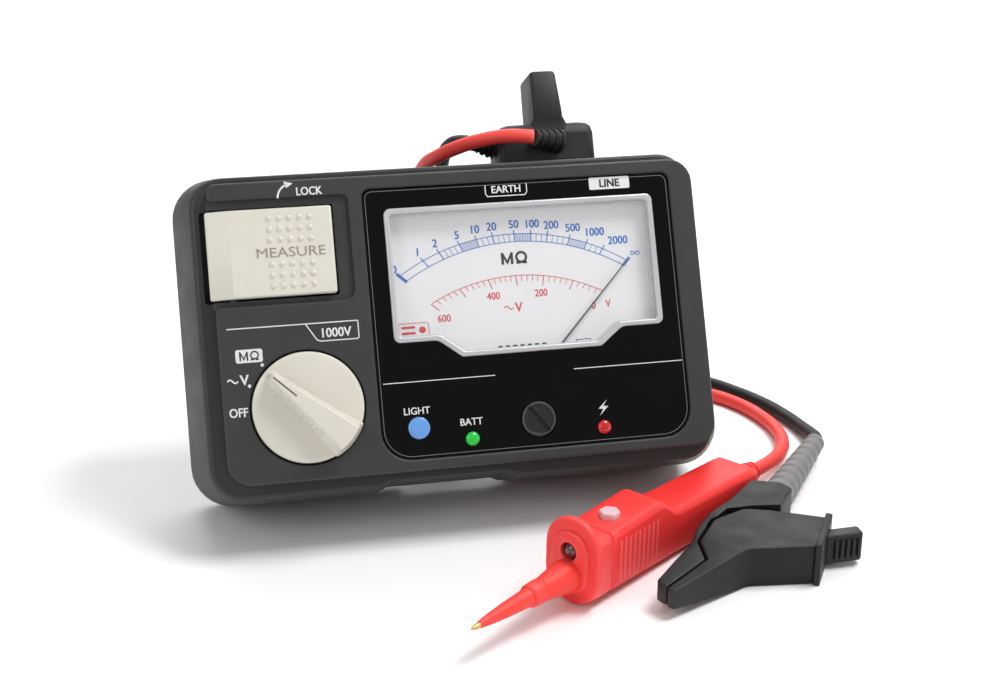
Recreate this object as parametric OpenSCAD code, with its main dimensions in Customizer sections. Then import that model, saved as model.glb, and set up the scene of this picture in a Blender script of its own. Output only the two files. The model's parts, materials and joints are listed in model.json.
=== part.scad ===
/* [Tester case] */
// Overall width of the case at the parting line
case_w = 159; // [150:0.5:170]
// Overall height of the case
case_h = 96; // [92:0.5:104]
// Depth from the panel's front face to the back
case_d = 44; // [42:0.5:48]
// Thickness of the case walls
wall = 2; // [1.6:0.1:2.4]
// How far the face leans back from upright, in degrees
lean = 25.8; // [22:0.1:30]

/* [Front face] */
// How far the raised face stands above the black panel
face_rise = 0.6; // [0.3:0.1:1]
// Diameter of the selector knob
knob_d = 31.7; // [28:0.1:34]
// Width of the measure key
key_w = 35.9; // [33:0.1:37]
// Height of the measure key
key_h = 25.2; // [22:0.1:27]
// Reach of the pointer from its pivot
pointer_len = 46; // [42:0.5:50]

/* [Leads] */
// Diameter of both leads
cord_d = 4.4; // [4:0.1:4.8]
// Diameter of each coil, measured mid-turn
coil_d = 47; // [44:1:50]

/* [Line probe] */
// Height of the barrier flange
flange_h = 25.5; // [25:0.5:29]
// Width of the barrier flange
flange_w = 18.5; // [18:0.5:21]
// Direction that the probe's handle points along, in degrees
probe_yaw = 37; // [37:1:43]

/* [Earth clip] */
// Thickness of the clip's levers
clip_t = 12; // [11:0.5:13]
// Direction from the jaws' tip to the pivot, in degrees
clip_yaw = 33; // [30:1:36]

/* [Hidden] */
$fn = 48;
hull_fn = 32;
eps = 0.01;
running = 0.05;
clearance = 0.3;

// Row frame: the middle of the bounding box, seen from above, is the origin.
middle = [20.83, -26.33];

// Colours
charcoal = [0.24, 0.25, 0.25];
ivory = [0.92, 0.9, 0.84];
coral = [0.94, 0.26, 0.23];
soot = [0.13, 0.13, 0.14];
relief_grey = [0.55, 0.55, 0.55];
board_green = [0.1, 0.35, 0.2];
brass = [0.8, 0.66, 0.35];

// Case: x right, y up the face, z out of the face, panel face at z = 0.
back_z = -case_d;
part_z = -17;
ridge_z = -4;
back_edge = 2;
case_r = 12;
ridge_w = case_w - 10.8;
ridge_h = case_h - 3.8;
ridge_r = 9;
plateau_left = -69.4;
plateau_right = ridge_w / 2;
plateau_bottom = -42.5;
plateau_top = 43.7;
plateau_r = 7;

// Black panel
panel_left = -25.5;
panel_right = 66.9;
panel_bottom = -39.2;
panel_top = 39.8;
panel_t = 2;
panel_top_r = 2.5;
panel_bottom_r = 8.5;
panel_ledge = 2.2;

// Meter window, symmetric about the pointer's axis
window_x = 20.8;
window_top = 33.7;
window_side_y = -5.5;
window_bottom = -10.8;
window_half_top = 40.4;
window_half_side = 27.6;
window_half_bottom = 20.8;
frame_t = 1.6;
frame_rise = 0.5;

// Meter movement
pivot_y = -19.1;
pointer_rest = 43.6;
scale_z = -4.6;
scale_t = 0.6;
pointer_z = -3.2;
pointer_t = 0.4;
yoke_z = -19;
yoke_h = 8;

// Controls
knob_x = -45.6;
knob_y = -21.7;
knob_floor_z = -3;
knob_points = 137;
key_left = -70.5;
key_bottom = 10.5;
key_hinge_x = -64;
key_hinge_z = -5.3;
key_top_z = 1.2;
key_under_z = -3.3;
key_facet = 15;
key_pin_d = 2;
recess_left = -72;
recess_right = -29.6;
recess_bottom = 8.2;
recess_top = 38.7;
recess_floor_z = -8;
button_x = -14.5;
button_y = -30.3;
button_d = 6.3;
zero_y = -30.6;
zero_d = 10.3;
battery_led_x = 0.8;
warning_led_x = 40.2;
led_y = -34.7;
led_d = 4.1;

// Boards
main_z = -24;
main_t = 1.6;
display_z = -9;
display_t = 1.2;

// Terminals and plug
plug_x = 34.8;
plug_z = -25;
plug_w = 30;
plug_depth = 18;
plug_base_h = 12;
plug_grip_x = 36;
plug_grip_w = 9;
plug_grip_h = 16.5;
pin_pitch = 19;
pin_d = 4;
socket_bottom = 30;

// Stand
stand_w = 34;
stand_y = 14;
stand_t = 2.4;
stand_open = 50;
stand_pin_d = 2.5;
stand_pin_len = stand_w + 5;
stand_axis_z = back_z + 2.2;
stand_swing = stand_open - lean;
stand_pin_height = (stand_y + case_h / 2) * cos(lean) + (stand_axis_z - back_z - back_edge) * sin(lean);
stand_len = (stand_pin_height - stand_t / 2 * sin(stand_swing)) / cos(stand_swing);

// Batteries: four size AA cells, side by side
cell_d = 14.5;
cell_len = 50.5;
cell_left = -72;
cell_first_y = -26;
cell_pitch = 15;
cell_z = back_z + 2.4 + cell_d / 2;
bay = [-74, -33.8, -20, 26.8];
bay_screw = [-46, 30];

// Case screws
screw_spots = [for (x = [-1, 1], y = [-1, 1]) [x * 69, y * 38]];
screw_head_z = back_z + 1;

// Clip
clip_pin_d = 3;
clip_opening = 20;
cheek_t = 3;
jaw_gap = 0.3;
jaw_tip_low = 3.4;
tooth_strip_len = 14.4;
relief_start = [28, 12.6, 6];
relief_end = [73, 28.5, 5.5];

// Probe, heights above the flange's foot
probe_axis_z = 9.3;
lamp_z = 16.3;
body_floor = 2.2;
body_top = 20;
handle_top = 16.4;
body_w = 15;
flange_t = 2.6;
nose_len = 9;
hump_x = 31;
hump_rise = 1.5;
tail_x = 84;
probe_button_x = 16.5;
probe_tail_z = 9;
handle_wall = 1.8;

// Places on the table
coil_height = 3 * cord_d;
coil_width = 2 * cord_d;
tie_t = 0.6;
red_coil = [-24, 104];
black_coil = [46, 104];
probe_at = [18.5, -79.5];
probe_pitch = 1.5;
clip_at = [73, -71];

// Routes of the leads, in table positions. Each upper run ends and each lower run starts at its coil.
red_upper_route = [
  [29.5, 15, 106], [22, 16, 106.4], [14, 19.5, 104.6], [8, 24.5, 101.5], [3, 32, 97],
  [0, 42, 91.3], [-1, 51, 82], [-2, 58, 69], [-3, 63, 54], [-5, 67, 38], [-8, 71, 24],
  [-14, 76.5, 14.5], [-24, 78.3, 11.6]
];
black_upper_route = [
  [14.5, 28, 101], [10, 30.6, 101.6], [7, 35, 99.3], [6, 40.3, 94], [7, 48, 87], [10, 55, 76],
  [14, 61, 60], [18, 66, 42], [24, 71, 27], [35, 76.8, 15.3], [46, 78.3, 11.6]
];
red_lower_route = [
  [1.7, 104, 2.8], [2.2, 93.5, 2.6], [6.5, 82.5, 2.3], [15.3, 73.5, 2.2], [29.5, 67.5, 2.2],
  [46.5, 64, 2.2], [63, 61.5, 2.2], [78.5, 57.5, 2.2], [91.5, 51, 2.2], [101, 44, 2.2],
  [107.5, 35, 2.2], [111.7, 23, 2.2], [112.8, 11, 2.4], [110.8, 0.5, 2.8], [106, -9, 3.8],
  [99.5, -17, 5], [92.8, -23.3, 6.1], [86.1, -28.6, 6.9]
];
black_lower_route = [
  [20.3, 104, 2.8], [20.5, 94, 2.5], [23.5, 85, 2.2], [31, 78, 2.2], [43, 73.5, 2.2],
  [59.5, 71.5, 2.2], [76.5, 68.5, 2.2], [91.5, 63, 2.2], [103, 55, 2.2], [111, 43.5, 2.2],
  [116.8, 32, 2.2], [120.2, 20.5, 2.2], [121.6, 10.5, 2.6], [121.7, 3, 3.6], [120.8, -3, 4.8],
  [118.7, -7.3, 5.5]
];

// ---- Placing ----

module on_table() {
  translate([-middle.x, -middle.y, 0]) children();
}

module on_case() {
  on_table()
    translate([0, 0, -back_edge * sin(lean)])
      rotate([90 - lean, 0, 0])
        translate([0, case_h / 2, case_d])
          children();
}

// Probe: x runs from the flange towards the tail, z is up, the flange's foot is at z = 0.
module on_probe() {
  on_table()
    translate(concat(probe_at, flange_t * sin(probe_pitch)))
      rotate([0, probe_pitch, probe_yaw])
        children();
}

// Clip: x runs from the jaws' tip towards the pivot, the pivot is at the origin.
module on_clip() {
  on_table()
    translate(concat(clip_at, 0))
      rotate([0, 0, clip_yaw])
        children();
}

// ---- Shared shapes ----

// Rectangle with the four corner radii in the order bottom left, bottom right, top right, top left.
module round_box_2d(left, bottom, right, top, radii) {
  corners = [[left, bottom], [right, bottom], [right, top], [left, top]];
  inward = [[1, 1], [-1, 1], [-1, -1], [1, -1]];
  difference() {
    translate(corners[0]) square([right - left, top - bottom]);
    for (i = [0:3])
      translate(corners[i])
        difference() {
          translate(radii[i] * (inward[i] - [1, 1]) / 2 - eps * (inward[i] + [1, 1]) / 2)
            square(radii[i] + eps);
          translate(radii[i] * inward[i]) circle(radii[i]);
        }
  }
}

module plate(z, height) {
  translate([0, 0, z]) linear_extrude(height) children();
}

module case_outline(inset_x, inset_y, radius) {
  half_w = case_w / 2 - inset_x;
  half_h = case_h / 2 - inset_y;
  round_box_2d(-half_w, -half_h, half_w, half_h, [radius, radius, radius, radius]);
}

// Solid between two outlines of the case, one at each depth.
module case_loft(z_low, inset_low, r_low, z_high, inset_high, r_high) {
  hull($fn = hull_fn) {
    plate(z_low, eps) case_outline(inset_low.x, inset_low.y, r_low, $fn = hull_fn);
    plate(z_high - eps, eps) case_outline(inset_high.x, inset_high.y, r_high, $fn = hull_fn);
  }
}

module panel_outline(inset) {
  top_r = max(panel_top_r - inset, 0.5);
  bottom_r = panel_bottom_r - inset;
  round_box_2d(
    panel_left + inset, panel_bottom + inset, panel_right - inset, panel_top - inset,
    [bottom_r, bottom_r, top_r, top_r]
  );
}

// Window opening: a rectangle whose lower corners are cut back in two steps.
module window_outline(inset) {
  left = window_x - window_half_top + inset;
  right = window_x + window_half_top - inset;
  polygon([
    [left, window_top - inset], [left, window_side_y + inset],
    [window_x - window_half_side + inset / 2, window_side_y + inset],
    [window_x - window_half_bottom + inset / 2, window_bottom + inset],
    [window_x + window_half_bottom - inset / 2, window_bottom + inset],
    [window_x + window_half_side - inset / 2, window_side_y + inset],
    [right, window_side_y + inset], [right, window_top - inset]
  ]);
}

function unit(v) = v / norm(v);

// Ring of points square to the route at one of its points.
function ring(route, i, radius, sides) =
  let (
    last = len(route) - 1,
    along = unit(route[min(i + 1, last)] - route[max(i - 1, 0)]),
    side = unit(cross(along, abs(along.z) > 0.9 ? [1, 0, 0] : [0, 0, 1])),
    other = cross(side, along)
  )
  [for (k = [0:sides - 1])
    route[i] + radius * (side * cos(360 * k / sides) + other * sin(360 * k / sides))];

// Tube swept along a route.
module tube(route, diameter, sides = 8) {
  rings = len(route);
  points = [for (i = [0:rings - 1]) each ring(route, i, diameter / 2, sides)];
  walls = [
    for (i = [0:rings - 2], k = [0:sides - 1])
      [i * sides + k, i * sides + (k + 1) % sides, (i + 1) * sides + (k + 1) % sides, (i + 1) * sides + k]
  ];
  first_cap = [for (k = [0:sides - 1]) sides - 1 - k];
  last_cap = [for (k = [0:sides - 1]) (rings - 1) * sides + k];
  polyhedron(concat(points), concat([first_cap], walls, [last_cap]));
}

module coil(at) {
  translate(concat(at, tie_t))
    rotate_extrude()
      translate([coil_d / 2 - coil_width / 2, 0])
        square([coil_width, coil_height]);
}

// Cylinder that runs along y.
module rod_y(x, z, y_low, y_high, diameter) {
  translate([x, y_high, z]) rotate([90, 0, 0]) cylinder(h = y_high - y_low, d = diameter);
}

// ---- Case ----

module front_case() {
  color(charcoal) on_case() difference() {
    union() {
      case_loft(part_z, [0, 0], case_r, ridge_z, [5.4, 1.9], ridge_r);
      plate(ridge_z - eps, face_rise - ridge_z + eps) plateau_outline(0);
    }
    difference() {
      union() {
        case_loft(part_z - eps, [wall, wall], case_r - wall, ridge_z - wall, [7.4, 3.9], ridge_r - wall);
        plate(ridge_z - wall - 1, wall + 1) plateau_outline(wall);
      }
      for (at = screw_spots)
        translate([at.x, at.y, part_z]) cylinder(h = -part_z, d = 8);
    }
    for (at = screw_spots)
      translate([at.x, at.y, part_z - 1]) cylinder(h = 8, d = 3);
    plate(-panel_t, panel_t + 1) panel_outline(0);
    plate(ridge_z - 1, 4) panel_outline(panel_ledge);
    front_case_holes();
    bottom_recess();
  }
  color(charcoal) on_case() {
    key_well();
    knob_floor();
  }
}

module plateau_outline(inset) {
  radius = plateau_r - inset;
  round_box_2d(
    plateau_left + inset, plateau_bottom + inset, plateau_right - inset, plateau_top - inset,
    [radius, radius, radius, radius]
  );
}

module front_case_holes() {
  plate(recess_floor_z - 3, 20)
    round_box_2d(recess_left, recess_bottom, recess_right, recess_top, [0.8, 2, 2, 0.8]);
  translate([knob_x, knob_y, -10]) cylinder(h = 20, d = knob_d + 1);
}

// Box under the key that carries its hinge pin. The key's foot passes through its floor.
module key_well() {
  well_wall = 1.6;
  difference() {
    plate(recess_floor_z - well_wall, ridge_z - recess_floor_z + well_wall + 1)
      square_between(
        recess_left - 0.9, recess_bottom - well_wall, recess_right + well_wall, recess_top + well_wall);
    plate(recess_floor_z, 10)
      round_box_2d(recess_left, recess_bottom, recess_right, recess_top, [0.8, 2, 2, 0.8]);
    plate(recess_floor_z - 5, 10) square_between(-47, 18.5, -35, 27.5);
    rod_y(key_hinge_x, key_hinge_z, recess_bottom - 1.4, recess_top + 1.4, key_pin_d);
  }
}

module square_between(left, bottom, right, top) {
  translate([left, bottom]) square([right - left, top - bottom]);
}

// Ring and floor below the knob, with a hole for its shaft.
module knob_floor() {
  floor_t = 1.6;
  translate([knob_x, knob_y, knob_floor_z - floor_t])
    difference() {
      cylinder(h = 2.6, d = knob_d + 4);
      translate([0, 0, floor_t]) cylinder(h = 10, d = knob_d + 1);
      translate([0, 0, -1]) cylinder(h = 10, d = 7);
    }
}

// Shallow step across the middle of the case's lower edge.
module bottom_recess() {
  translate([-24, -case_h / 2 - 1, back_z - 1]) cube([36, 2.4, case_d - 6]);
}

module rear_case() {
  color(charcoal) on_case() difference() {
    union() {
      difference() {
        union() {
          plate(back_z + back_edge - eps, part_z - back_z - back_edge + eps) case_outline(0, 0, case_r);
          case_loft(back_z, [back_edge, back_edge], case_r - back_edge, back_z + back_edge, [0, 0], case_r);
        }
        plate(back_z + wall, case_d) case_outline(wall, wall, case_r - wall);
      }
      stand_recess_backing();
      translate([bay_screw.x - 9, bay[3] + 0.1, back_z + 1]) cube([18, 9, 6.5]);
      for (at = screw_spots)
        translate([at.x, at.y, back_z + 0.5]) cylinder(h = part_z - back_z - 0.5, d = 8);
    }
    for (at = screw_spots) {
      translate([at.x, at.y, back_z - 1]) cylinder(h = 4, d = 6.4);
      translate([at.x, at.y, back_z - 1]) cylinder(h = case_d, d = 3);
    }
    stand_recess();
    battery_cover_shape(0.2, back_z - 1, wall + 1);
    translate(concat(bay_screw, back_z)) cylinder(h = 9, d = 3);
    for (side = [-1, 1])
      rod_y(plug_x + side * pin_pitch / 2, plug_z, case_h / 2 - wall - 1, case_h / 2 + 1, 8);
    bottom_recess();
  }
}

module case_screws() {
  color("silver") on_case()
    for (at = screw_spots)
      translate([at.x, at.y, screw_head_z])
        difference() {
          union() {
            cylinder(h = 2, d = 5.6);
            cylinder(h = 30, d = 3);
          }
          translate([0, 0, -1]) cylinder(h = 2.2, d = 3.2, $fn = 6);
        }
}

// Room in the back for the folded stand, and the holes for its pin.
module stand_recess() {
  translate([-stand_w / 2 - clearance, stand_y - stand_len - 2, back_z - 1])
    cube([stand_w + 2 * clearance, stand_len + 5, 5.8]);
  rod_x(stand_pin_len, stand_y, stand_axis_z, stand_pin_d);
}

// Thicker material behind the stand's recess.
module stand_recess_backing() {
  translate([-stand_w / 2 - 3, 1 - case_h / 2, back_z + 1])
    cube([stand_w + 6, case_h / 2 + stand_y + 4, 5.6]);
}

// Cylinder along x, centred on the middle of the case.
module rod_x(length, y, z, diameter) {
  translate([-length / 2, y, z]) rotate([0, 90, 0]) cylinder(h = length, d = diameter);
}

// Cover of the battery bay with its screw tab, grown by a margin.
module battery_cover_shape(margin, z, height) {
  plate(z, height) {
    square_between(bay[0] - margin, bay[1] - margin, bay[2] + margin, bay[3] + margin);
    square_between(bay_screw.x - 6 - margin, bay[3] - 1, bay_screw.x + 6 + margin, bay_screw.y + 4 + margin);
  }
}

module battery_cover() {
  color(charcoal) on_case() difference() {
    battery_cover_shape(0, back_z, wall);
    translate(concat(bay_screw, back_z - 1)) cylinder(h = 5, d = 3);
    translate(concat(bay_screw, back_z - 1)) cylinder(h = 2, d = 6);
    for (i = [0:4])
      translate([-66 + 3 * i, -6, back_z - 1]) cube([1.4, 14, 1.5]);
  }
}

module battery_cover_screw() {
  color("silver") on_case() translate(concat(bay_screw, back_z + 0.2))
    difference() {
      union() {
        cylinder(h = 0.8, d = 5.6);
        cylinder(h = 7, d = 3);
      }
      translate([-2, -0.4, -1]) cube([4, 0.8, 1.4]);
    }
}

module batteries() {
  color([0.2, 0.25, 0.55]) on_case()
    for (i = [0:3])
      translate([cell_left, cell_first_y + i * cell_pitch, cell_z])
        rotate([0, 90, 0]) {
          translate([0, 0, i % 2 == 0 ? 0 : 1.2]) cylinder(h = cell_len - 1.2, d = cell_d);
          cylinder(h = cell_len, d = 5.4);
        }
}

// Strips that join each cell to the next.
module battery_contacts() {
  color("silver") on_case()
    for (x = [cell_left - 0.8, cell_left + cell_len], i = [0:1])
      translate([x, cell_first_y - 4 + i * 2 * cell_pitch, cell_z - 4])
        cube([0.8, cell_pitch + 8, 8]);
}

// ---- Front panel and meter ----

module front_panel() {
  color(soot) on_case() difference() {
    plate(-panel_t, panel_t) panel_outline(0);
    plate(-panel_t - 1, panel_t + 2) window_outline(0);
    translate([button_x, button_y, -3]) cylinder(h = 4, d = button_d + 0.6);
    translate([window_x, zero_y, -3]) cylinder(h = 4, d = zero_d + 0.6);
    for (x = [battery_led_x, warning_led_x])
      translate([x, led_y, -3]) cylinder(h = 4, d = led_d + 0.1);
  }
}

module window_frame() {
  color("silver") on_case() difference() {
    plate(-panel_t, panel_t + frame_rise) window_outline(0);
    plate(-panel_t - 1, panel_t + 3) window_outline(frame_t);
  }
}

module window_lens() {
  color([0.9, 0.95, 1, 0.3]) on_case() plate(-1.6, 1.4) window_outline(frame_t);
}

module scale_plate() {
  color([0.95, 0.95, 0.96]) on_case() plate(scale_z, scale_t)
    square_between(window_x - 42.5, -14, window_x + 42.5, 36);
}

// Needle with its hub and counterweight.
module pointer() {
  color("dimgray") on_case()
    translate([window_x, pivot_y, pointer_z])
      rotate([0, 0, -pointer_rest])
        linear_extrude(pointer_t) {
          polygon([[-0.6, 0], [0.6, 0], [0.25, pointer_len], [-0.25, pointer_len]]);
          circle(d = 5);
          square_between(-0.8, -4.5, 0.8, 0);
        }
}

module moving_coil() {
  color("darkorange") on_case()
    translate([window_x, pivot_y, 0])
      rotate([0, 0, -pointer_rest]) {
        translate([0, 0, -8.6]) cylinder(h = pointer_z + 8.6, d = 1.6);
        translate([0, 0, -24.3]) cylinder(h = 3.7, d = 1.6);
        translate([-7.4, -1.4, -21.4])
          difference() {
            cube([14.8, 2.8, 12.9]);
            translate([1.4, -1, 1.4]) cube([12, 5, 10.1]);
          }
      }
}

module meter_yoke() {
  color("slategray") on_case()
    translate([window_x, pivot_y, yoke_z])
      difference() {
        cylinder(h = yoke_h, d = 26);
        translate([0, 0, -1]) cylinder(h = yoke_h + 2, d = 16.6);
      }
}

// Iron core inside the coil, held to the yoke by two bridges.
module meter_core() {
  color("gray") on_case()
    translate([window_x, pivot_y, yoke_z + 1])
      intersection() {
        union() {
          cylinder(h = yoke_h - 2, d = 10);
          translate([-1.2, -10, 0]) cube([2.4, 20, yoke_h - 2]);
        }
        translate([0, 0, -1]) cylinder(h = yoke_h + 2, d = 16.6);
      }
}

// Bracket that carries the yoke, the coil's bearings and the scale plate.
module meter_frame() {
  bridge_z = -7.6;
  color("goldenrod") on_case() {
    translate([window_x, pivot_y, 0]) {
      difference() {
        translate([-19, -14, main_z - 1.6]) cube([38, 28, 1.6]);
        translate([0, 0, main_z - 0.6]) cylinder(h = 2, d = 1.7);
      }
      for (side = [-1, 1])
        translate([side * 14 - 1, -4, main_z]) cube([2, 8, bridge_z - main_z + 1]);
      difference() {
        translate([-15, -4, bridge_z]) cube([30, 8, 1]);
        translate([0, 0, bridge_z - 1]) cylinder(h = 3, d = 1.7);
      }
      for (turn = [45, 135, 225, 315])
        rotate([0, 0, turn]) translate([11, 0, main_z]) cylinder(h = yoke_z - main_z, d = 3);
      for (side = [-1, 1]) {
        translate([side * 14 - 1, 3, -8]) cube([2, 7, 1.4]);
        translate([side * 17 - 3, 6, -8]) cube([6, 12, 1.4]);
        translate([side * 17, 12, -7]) cylinder(h = scale_z + 7, d = 3);
      }
    }
  }
}

// Screw whose off-centre pin sets the pointer's rest.
module zero_adjust_screw() {
  color(soot) on_case()
    translate([window_x, zero_y, 0])
      difference() {
        union() {
          translate([0, 0, -2.6]) cylinder(h = 3, d = zero_d);
          translate([0, 0, -3.6]) cylinder(h = 1.2, d = zero_d + 2);
          translate([0, 0, -9.8]) cylinder(h = 7, d = 4);
          translate([1.2, 0, -10.6]) cylinder(h = 1, d = 1.2);
        }
        rotate([0, 0, -52]) translate([-6, -0.6, -0.6]) cube([12, 1.2, 2]);
      }
}

// ---- Controls ----

module measure_key() {
  dot_d = 1.7;
  left_drop = (key_hinge_x - key_left) * tan(key_facet);
  barrels = [key_bottom + 0.4, key_bottom + key_h - 4.4];
  color(ivory) on_case() difference() {
    union() {
      translate([0, key_bottom + key_h, 0])
        rotate([90, 0, 0])
          linear_extrude(key_h)
            polygon([
              [key_left, key_under_z], [key_left + key_w, key_under_z],
              [key_left + key_w, key_top_z], [key_hinge_x, key_top_z],
              [key_left, key_top_z - left_drop]
            ]);
      for (y = barrels) rod_y(key_hinge_x, key_hinge_z, y, y + 4, 4.4);
      translate([-44, 20, -9]) cube([6, 6, 6]);
      for (block = [13.4, 26.6], i = [0:4], j = [0:2])
        translate([-52.6 + 2.9 * i, block + 3.1 * j, key_top_z - 0.1]) cylinder(h = 0.5, d = dot_d);
    }
    rod_y(key_hinge_x, key_hinge_z, key_bottom - 1, key_bottom + key_h + 1, key_pin_d + 2 * running);
    rod_y(key_hinge_x, key_hinge_z, barrels[0] + 4, barrels[1], 6.6);
  }
}

module key_pin() {
  color("silver") on_case()
    rod_y(key_hinge_x, key_hinge_z, recess_bottom - 1.4, recess_top + 1.4, key_pin_d);
}

// Torsion spring around the key's pin: closed turns, and one leg down to the well's floor.
module key_spring() {
  wire = 0.9;
  color("silver") on_case() {
    for (turn = [0:5])
      translate([key_hinge_x, 18 + turn * wire * 1.2, key_hinge_z])
        rotate([90, 0, 0])
          rotate_extrude()
            translate([2.1, 0]) circle(d = wire * 1.25, $fn = 16);
    translate([key_hinge_x + 2.1, 18, recess_floor_z]) cylinder(h = 2.7, d = wire);
  }
}

module measure_switch() {
  color(soot) on_case() {
    translate([-46.5, 18.5, main_z + main_t]) cube([12, 9, 9.5]);
    translate([-43, 21, main_z + main_t + 9.4]) cube([4, 4, 2]);
  }
}

module selector_knob() {
  bar_h = 5.5;
  disc_top = 1.5;
  color(ivory) on_case()
    translate([knob_x, knob_y, 0])
      difference() {
        union() {
          translate([0, 0, knob_floor_z + 0.5]) cylinder(h = disc_top - knob_floor_z - 0.5, d = knob_d);
          intersection() {
            rotate([0, 0, knob_points])
              hull($fn = hull_fn) {
                plate(disc_top - 0.2, eps) bar_outline(0);
                plate(disc_top + bar_h - 1, eps) bar_outline(0.9);
                translate([-14, -3.6, disc_top + bar_h - 0.5]) cube([1, 7.2, 0.5]);
              }
            cylinder(h = 20, d = knob_d);
          }
        }
        translate([0, 0, -5]) cylinder(h = 5.4, d = 6);
      }
}

// The bar narrows from the rim behind to a round tip in front.
module bar_outline(inset) {
  hull() {
    translate([-17, -5.3 + inset]) square([1, 10.6 - 2 * inset]);
    translate([13, 0]) circle(r = 1.6 - inset / 2);
  }
}

module selector_shaft() {
  color("silver") on_case() translate([knob_x, knob_y, -14.5]) cylinder(h = 14.9, d = 6);
}

module rotary_switch() {
  color(soot) on_case()
    translate([knob_x, knob_y, 0])
      difference() {
        union() {
          translate([0, 0, -17]) cylinder(h = 8, d = 24);
          translate([0, 0, main_z + main_t]) cylinder(h = 6, d = 16);
        }
        translate([0, 0, -15]) cylinder(h = 8, d = 6 + 2 * running);
      }
}

module light_button() {
  color([0.5, 0.7, 0.95]) on_case()
    translate([button_x, button_y, 0]) {
      translate([0, 0, -3]) cylinder(h = 3.8, d = button_d);
      translate([0, 0, -3.6]) cylinder(h = 1.2, d = button_d + 2);
    }
}

module light_switch() {
  color(soot) on_case()
    translate([button_x, button_y, 0]) {
      translate([-3, -3, display_z + display_t]) cube([6, 6, 2.6]);
      translate([0, 0, display_z + display_t + 2.5]) cylinder(h = 0.7, d = 3);
    }
}

module led(x, tint) {
  color(tint) on_case()
    translate([x, led_y, 0]) {
      translate([0, 0, display_z + display_t]) cylinder(h = 0.2 - display_z - display_t, d = led_d);
      translate([0, 0, display_z + display_t]) cylinder(h = 1.4, d = led_d + 0.8);
      intersection() {
        translate([0, 0, -1.5]) sphere(r = 2.7);
        cylinder(h = 2, d = led_d);
      }
    }
}

module battery_led() {
  led(battery_led_x, [0.2, 0.9, 0.3]);
}

module warning_led() {
  led(warning_led_x, [0.9, 0.1, 0.1]);
}

// ---- Boards and terminals ----

module display_board() {
  color(board_green) on_case() plate(display_z, display_t)
    difference() {
      square_between(-20, -37.5, 55, -25.6);
      translate([window_x, zero_y]) circle(d = 5);
      square_between(window_x - 15.4, -27, window_x + 15.4, -25);
    }
}

module main_board() {
  color(board_green) on_case() plate(main_z, main_t)
    difference() {
      square_between(-73.5, -43.5, 73.5, 43.5);
      square_between(window_x - 17, -36, window_x + 17, -2);
      square_between(8, 28, 60, 45);
      for (at = screw_spots)
        translate(at) circle(d = 8.6);
    }
}

module hv_transformer() {
  color([0.3, 0.3, 0.32]) on_case() {
    translate([44, -2, main_z - 13]) cube([22, 20, 13]);
    translate([41.5, 3, main_z - 10]) cube([27, 10, 7]);
  }
}

module terminal_block() {
  color([0.3, 0.3, 0.3]) on_case() difference() {
    translate([plug_x - 17, socket_bottom, plug_z - 7]) cube([34, case_h / 2 - wall - socket_bottom, 14]);
    for (side = [-1, 1])
      rod_y(plug_x + side * pin_pitch / 2, plug_z, socket_bottom + 1.5, case_h / 2, pin_d + 2);
  }
}

module terminal_sockets() {
  color(brass) on_case()
    for (side = [-1, 1])
      difference() {
        rod_y(plug_x + side * pin_pitch / 2, plug_z, socket_bottom + 1.5, case_h / 2 - wall, pin_d + 2);
        rod_y(plug_x + side * pin_pitch / 2, plug_z, socket_bottom + 3, case_h / 2, pin_d);
      }
}

// ---- Stand ----

// The stand is drawn folded along the back, then opened about its pin.
module opened() {
  translate([0, stand_y, stand_axis_z])
    rotate([stand_open, 0, 0])
      children();
}

module tilt_stand() {
  color(charcoal) on_case() opened() difference() {
    union() {
      translate([-stand_w / 2, -stand_len, -stand_t / 2]) cube([stand_w, stand_len, stand_t]);
      for (x = [-stand_w / 2, stand_w / 2 - 3])
        translate([x, 6 - stand_len, -stand_t / 2]) cube([3, stand_len - 10, stand_t + 0.8]);
      rod_x(stand_w, 0, 0, 4.4);
    }
    rod_x(stand_w + 1, 0, 0, stand_pin_d + 2 * running);
  }
}

module stand_pin() {
  color("silver") on_case() rod_x(stand_pin_len, stand_y, stand_axis_z, stand_pin_d);
}

// ---- Plug ----

module plug_body() {
  base_y = case_h / 2;
  grip_y = base_y + plug_base_h;
  color(soot) on_case() difference() {
    union() {
      translate([plug_x - plug_w / 2, base_y, plug_z - plug_depth / 2]) cube([plug_w, plug_base_h, plug_depth]);
      hull($fn = hull_fn) {
        translate([plug_grip_x - plug_grip_w / 2 - 1, grip_y - 1, plug_z - plug_depth / 2])
          cube([plug_grip_w + 2, 1, plug_depth]);
        translate([plug_grip_x - plug_grip_w / 2, grip_y + 2, plug_z - plug_depth / 2])
          cube([plug_grip_w, 1, plug_depth]);
        translate([plug_grip_x - plug_grip_w / 2, grip_y + plug_grip_h - 1, plug_z - plug_depth / 2 + 1])
          cube([plug_grip_w - 1, 1, plug_depth - 2]);
      }
    }
    for (side = [-1, 1])
      rod_y(plug_x + side * pin_pitch / 2, plug_z, base_y - 1, base_y + 8, pin_d);
  }
}

module plug_pins() {
  color(brass) on_case()
    for (side = [-1, 1])
      rod_y(plug_x + side * pin_pitch / 2, plug_z, socket_bottom + 4, case_h / 2 + 8, pin_d);
}

// Ribbed cone around a lead: a core with rings on it.
module ribbed_cone(start, finish, wide_d, narrow_d, ribs) {
  span = finish - start;
  length = norm(span);
  turn = [0, acos(span.z / length), atan2(span.y, span.x)];
  translate(start) rotate(turn)
    rotate_extrude()
      difference() {
        polygon([[0, 0], [wide_d / 2, 0], [narrow_d / 2, length], [0, length]]);
        for (i = [0:ribs - 1]) {
          at = length * (i + 1) / (ribs + 1);
          translate([(wide_d + (narrow_d - wide_d) * at / length) / 2 - 0.7, at]) square([2, length / ribs / 3]);
        }
      }
}

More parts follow.
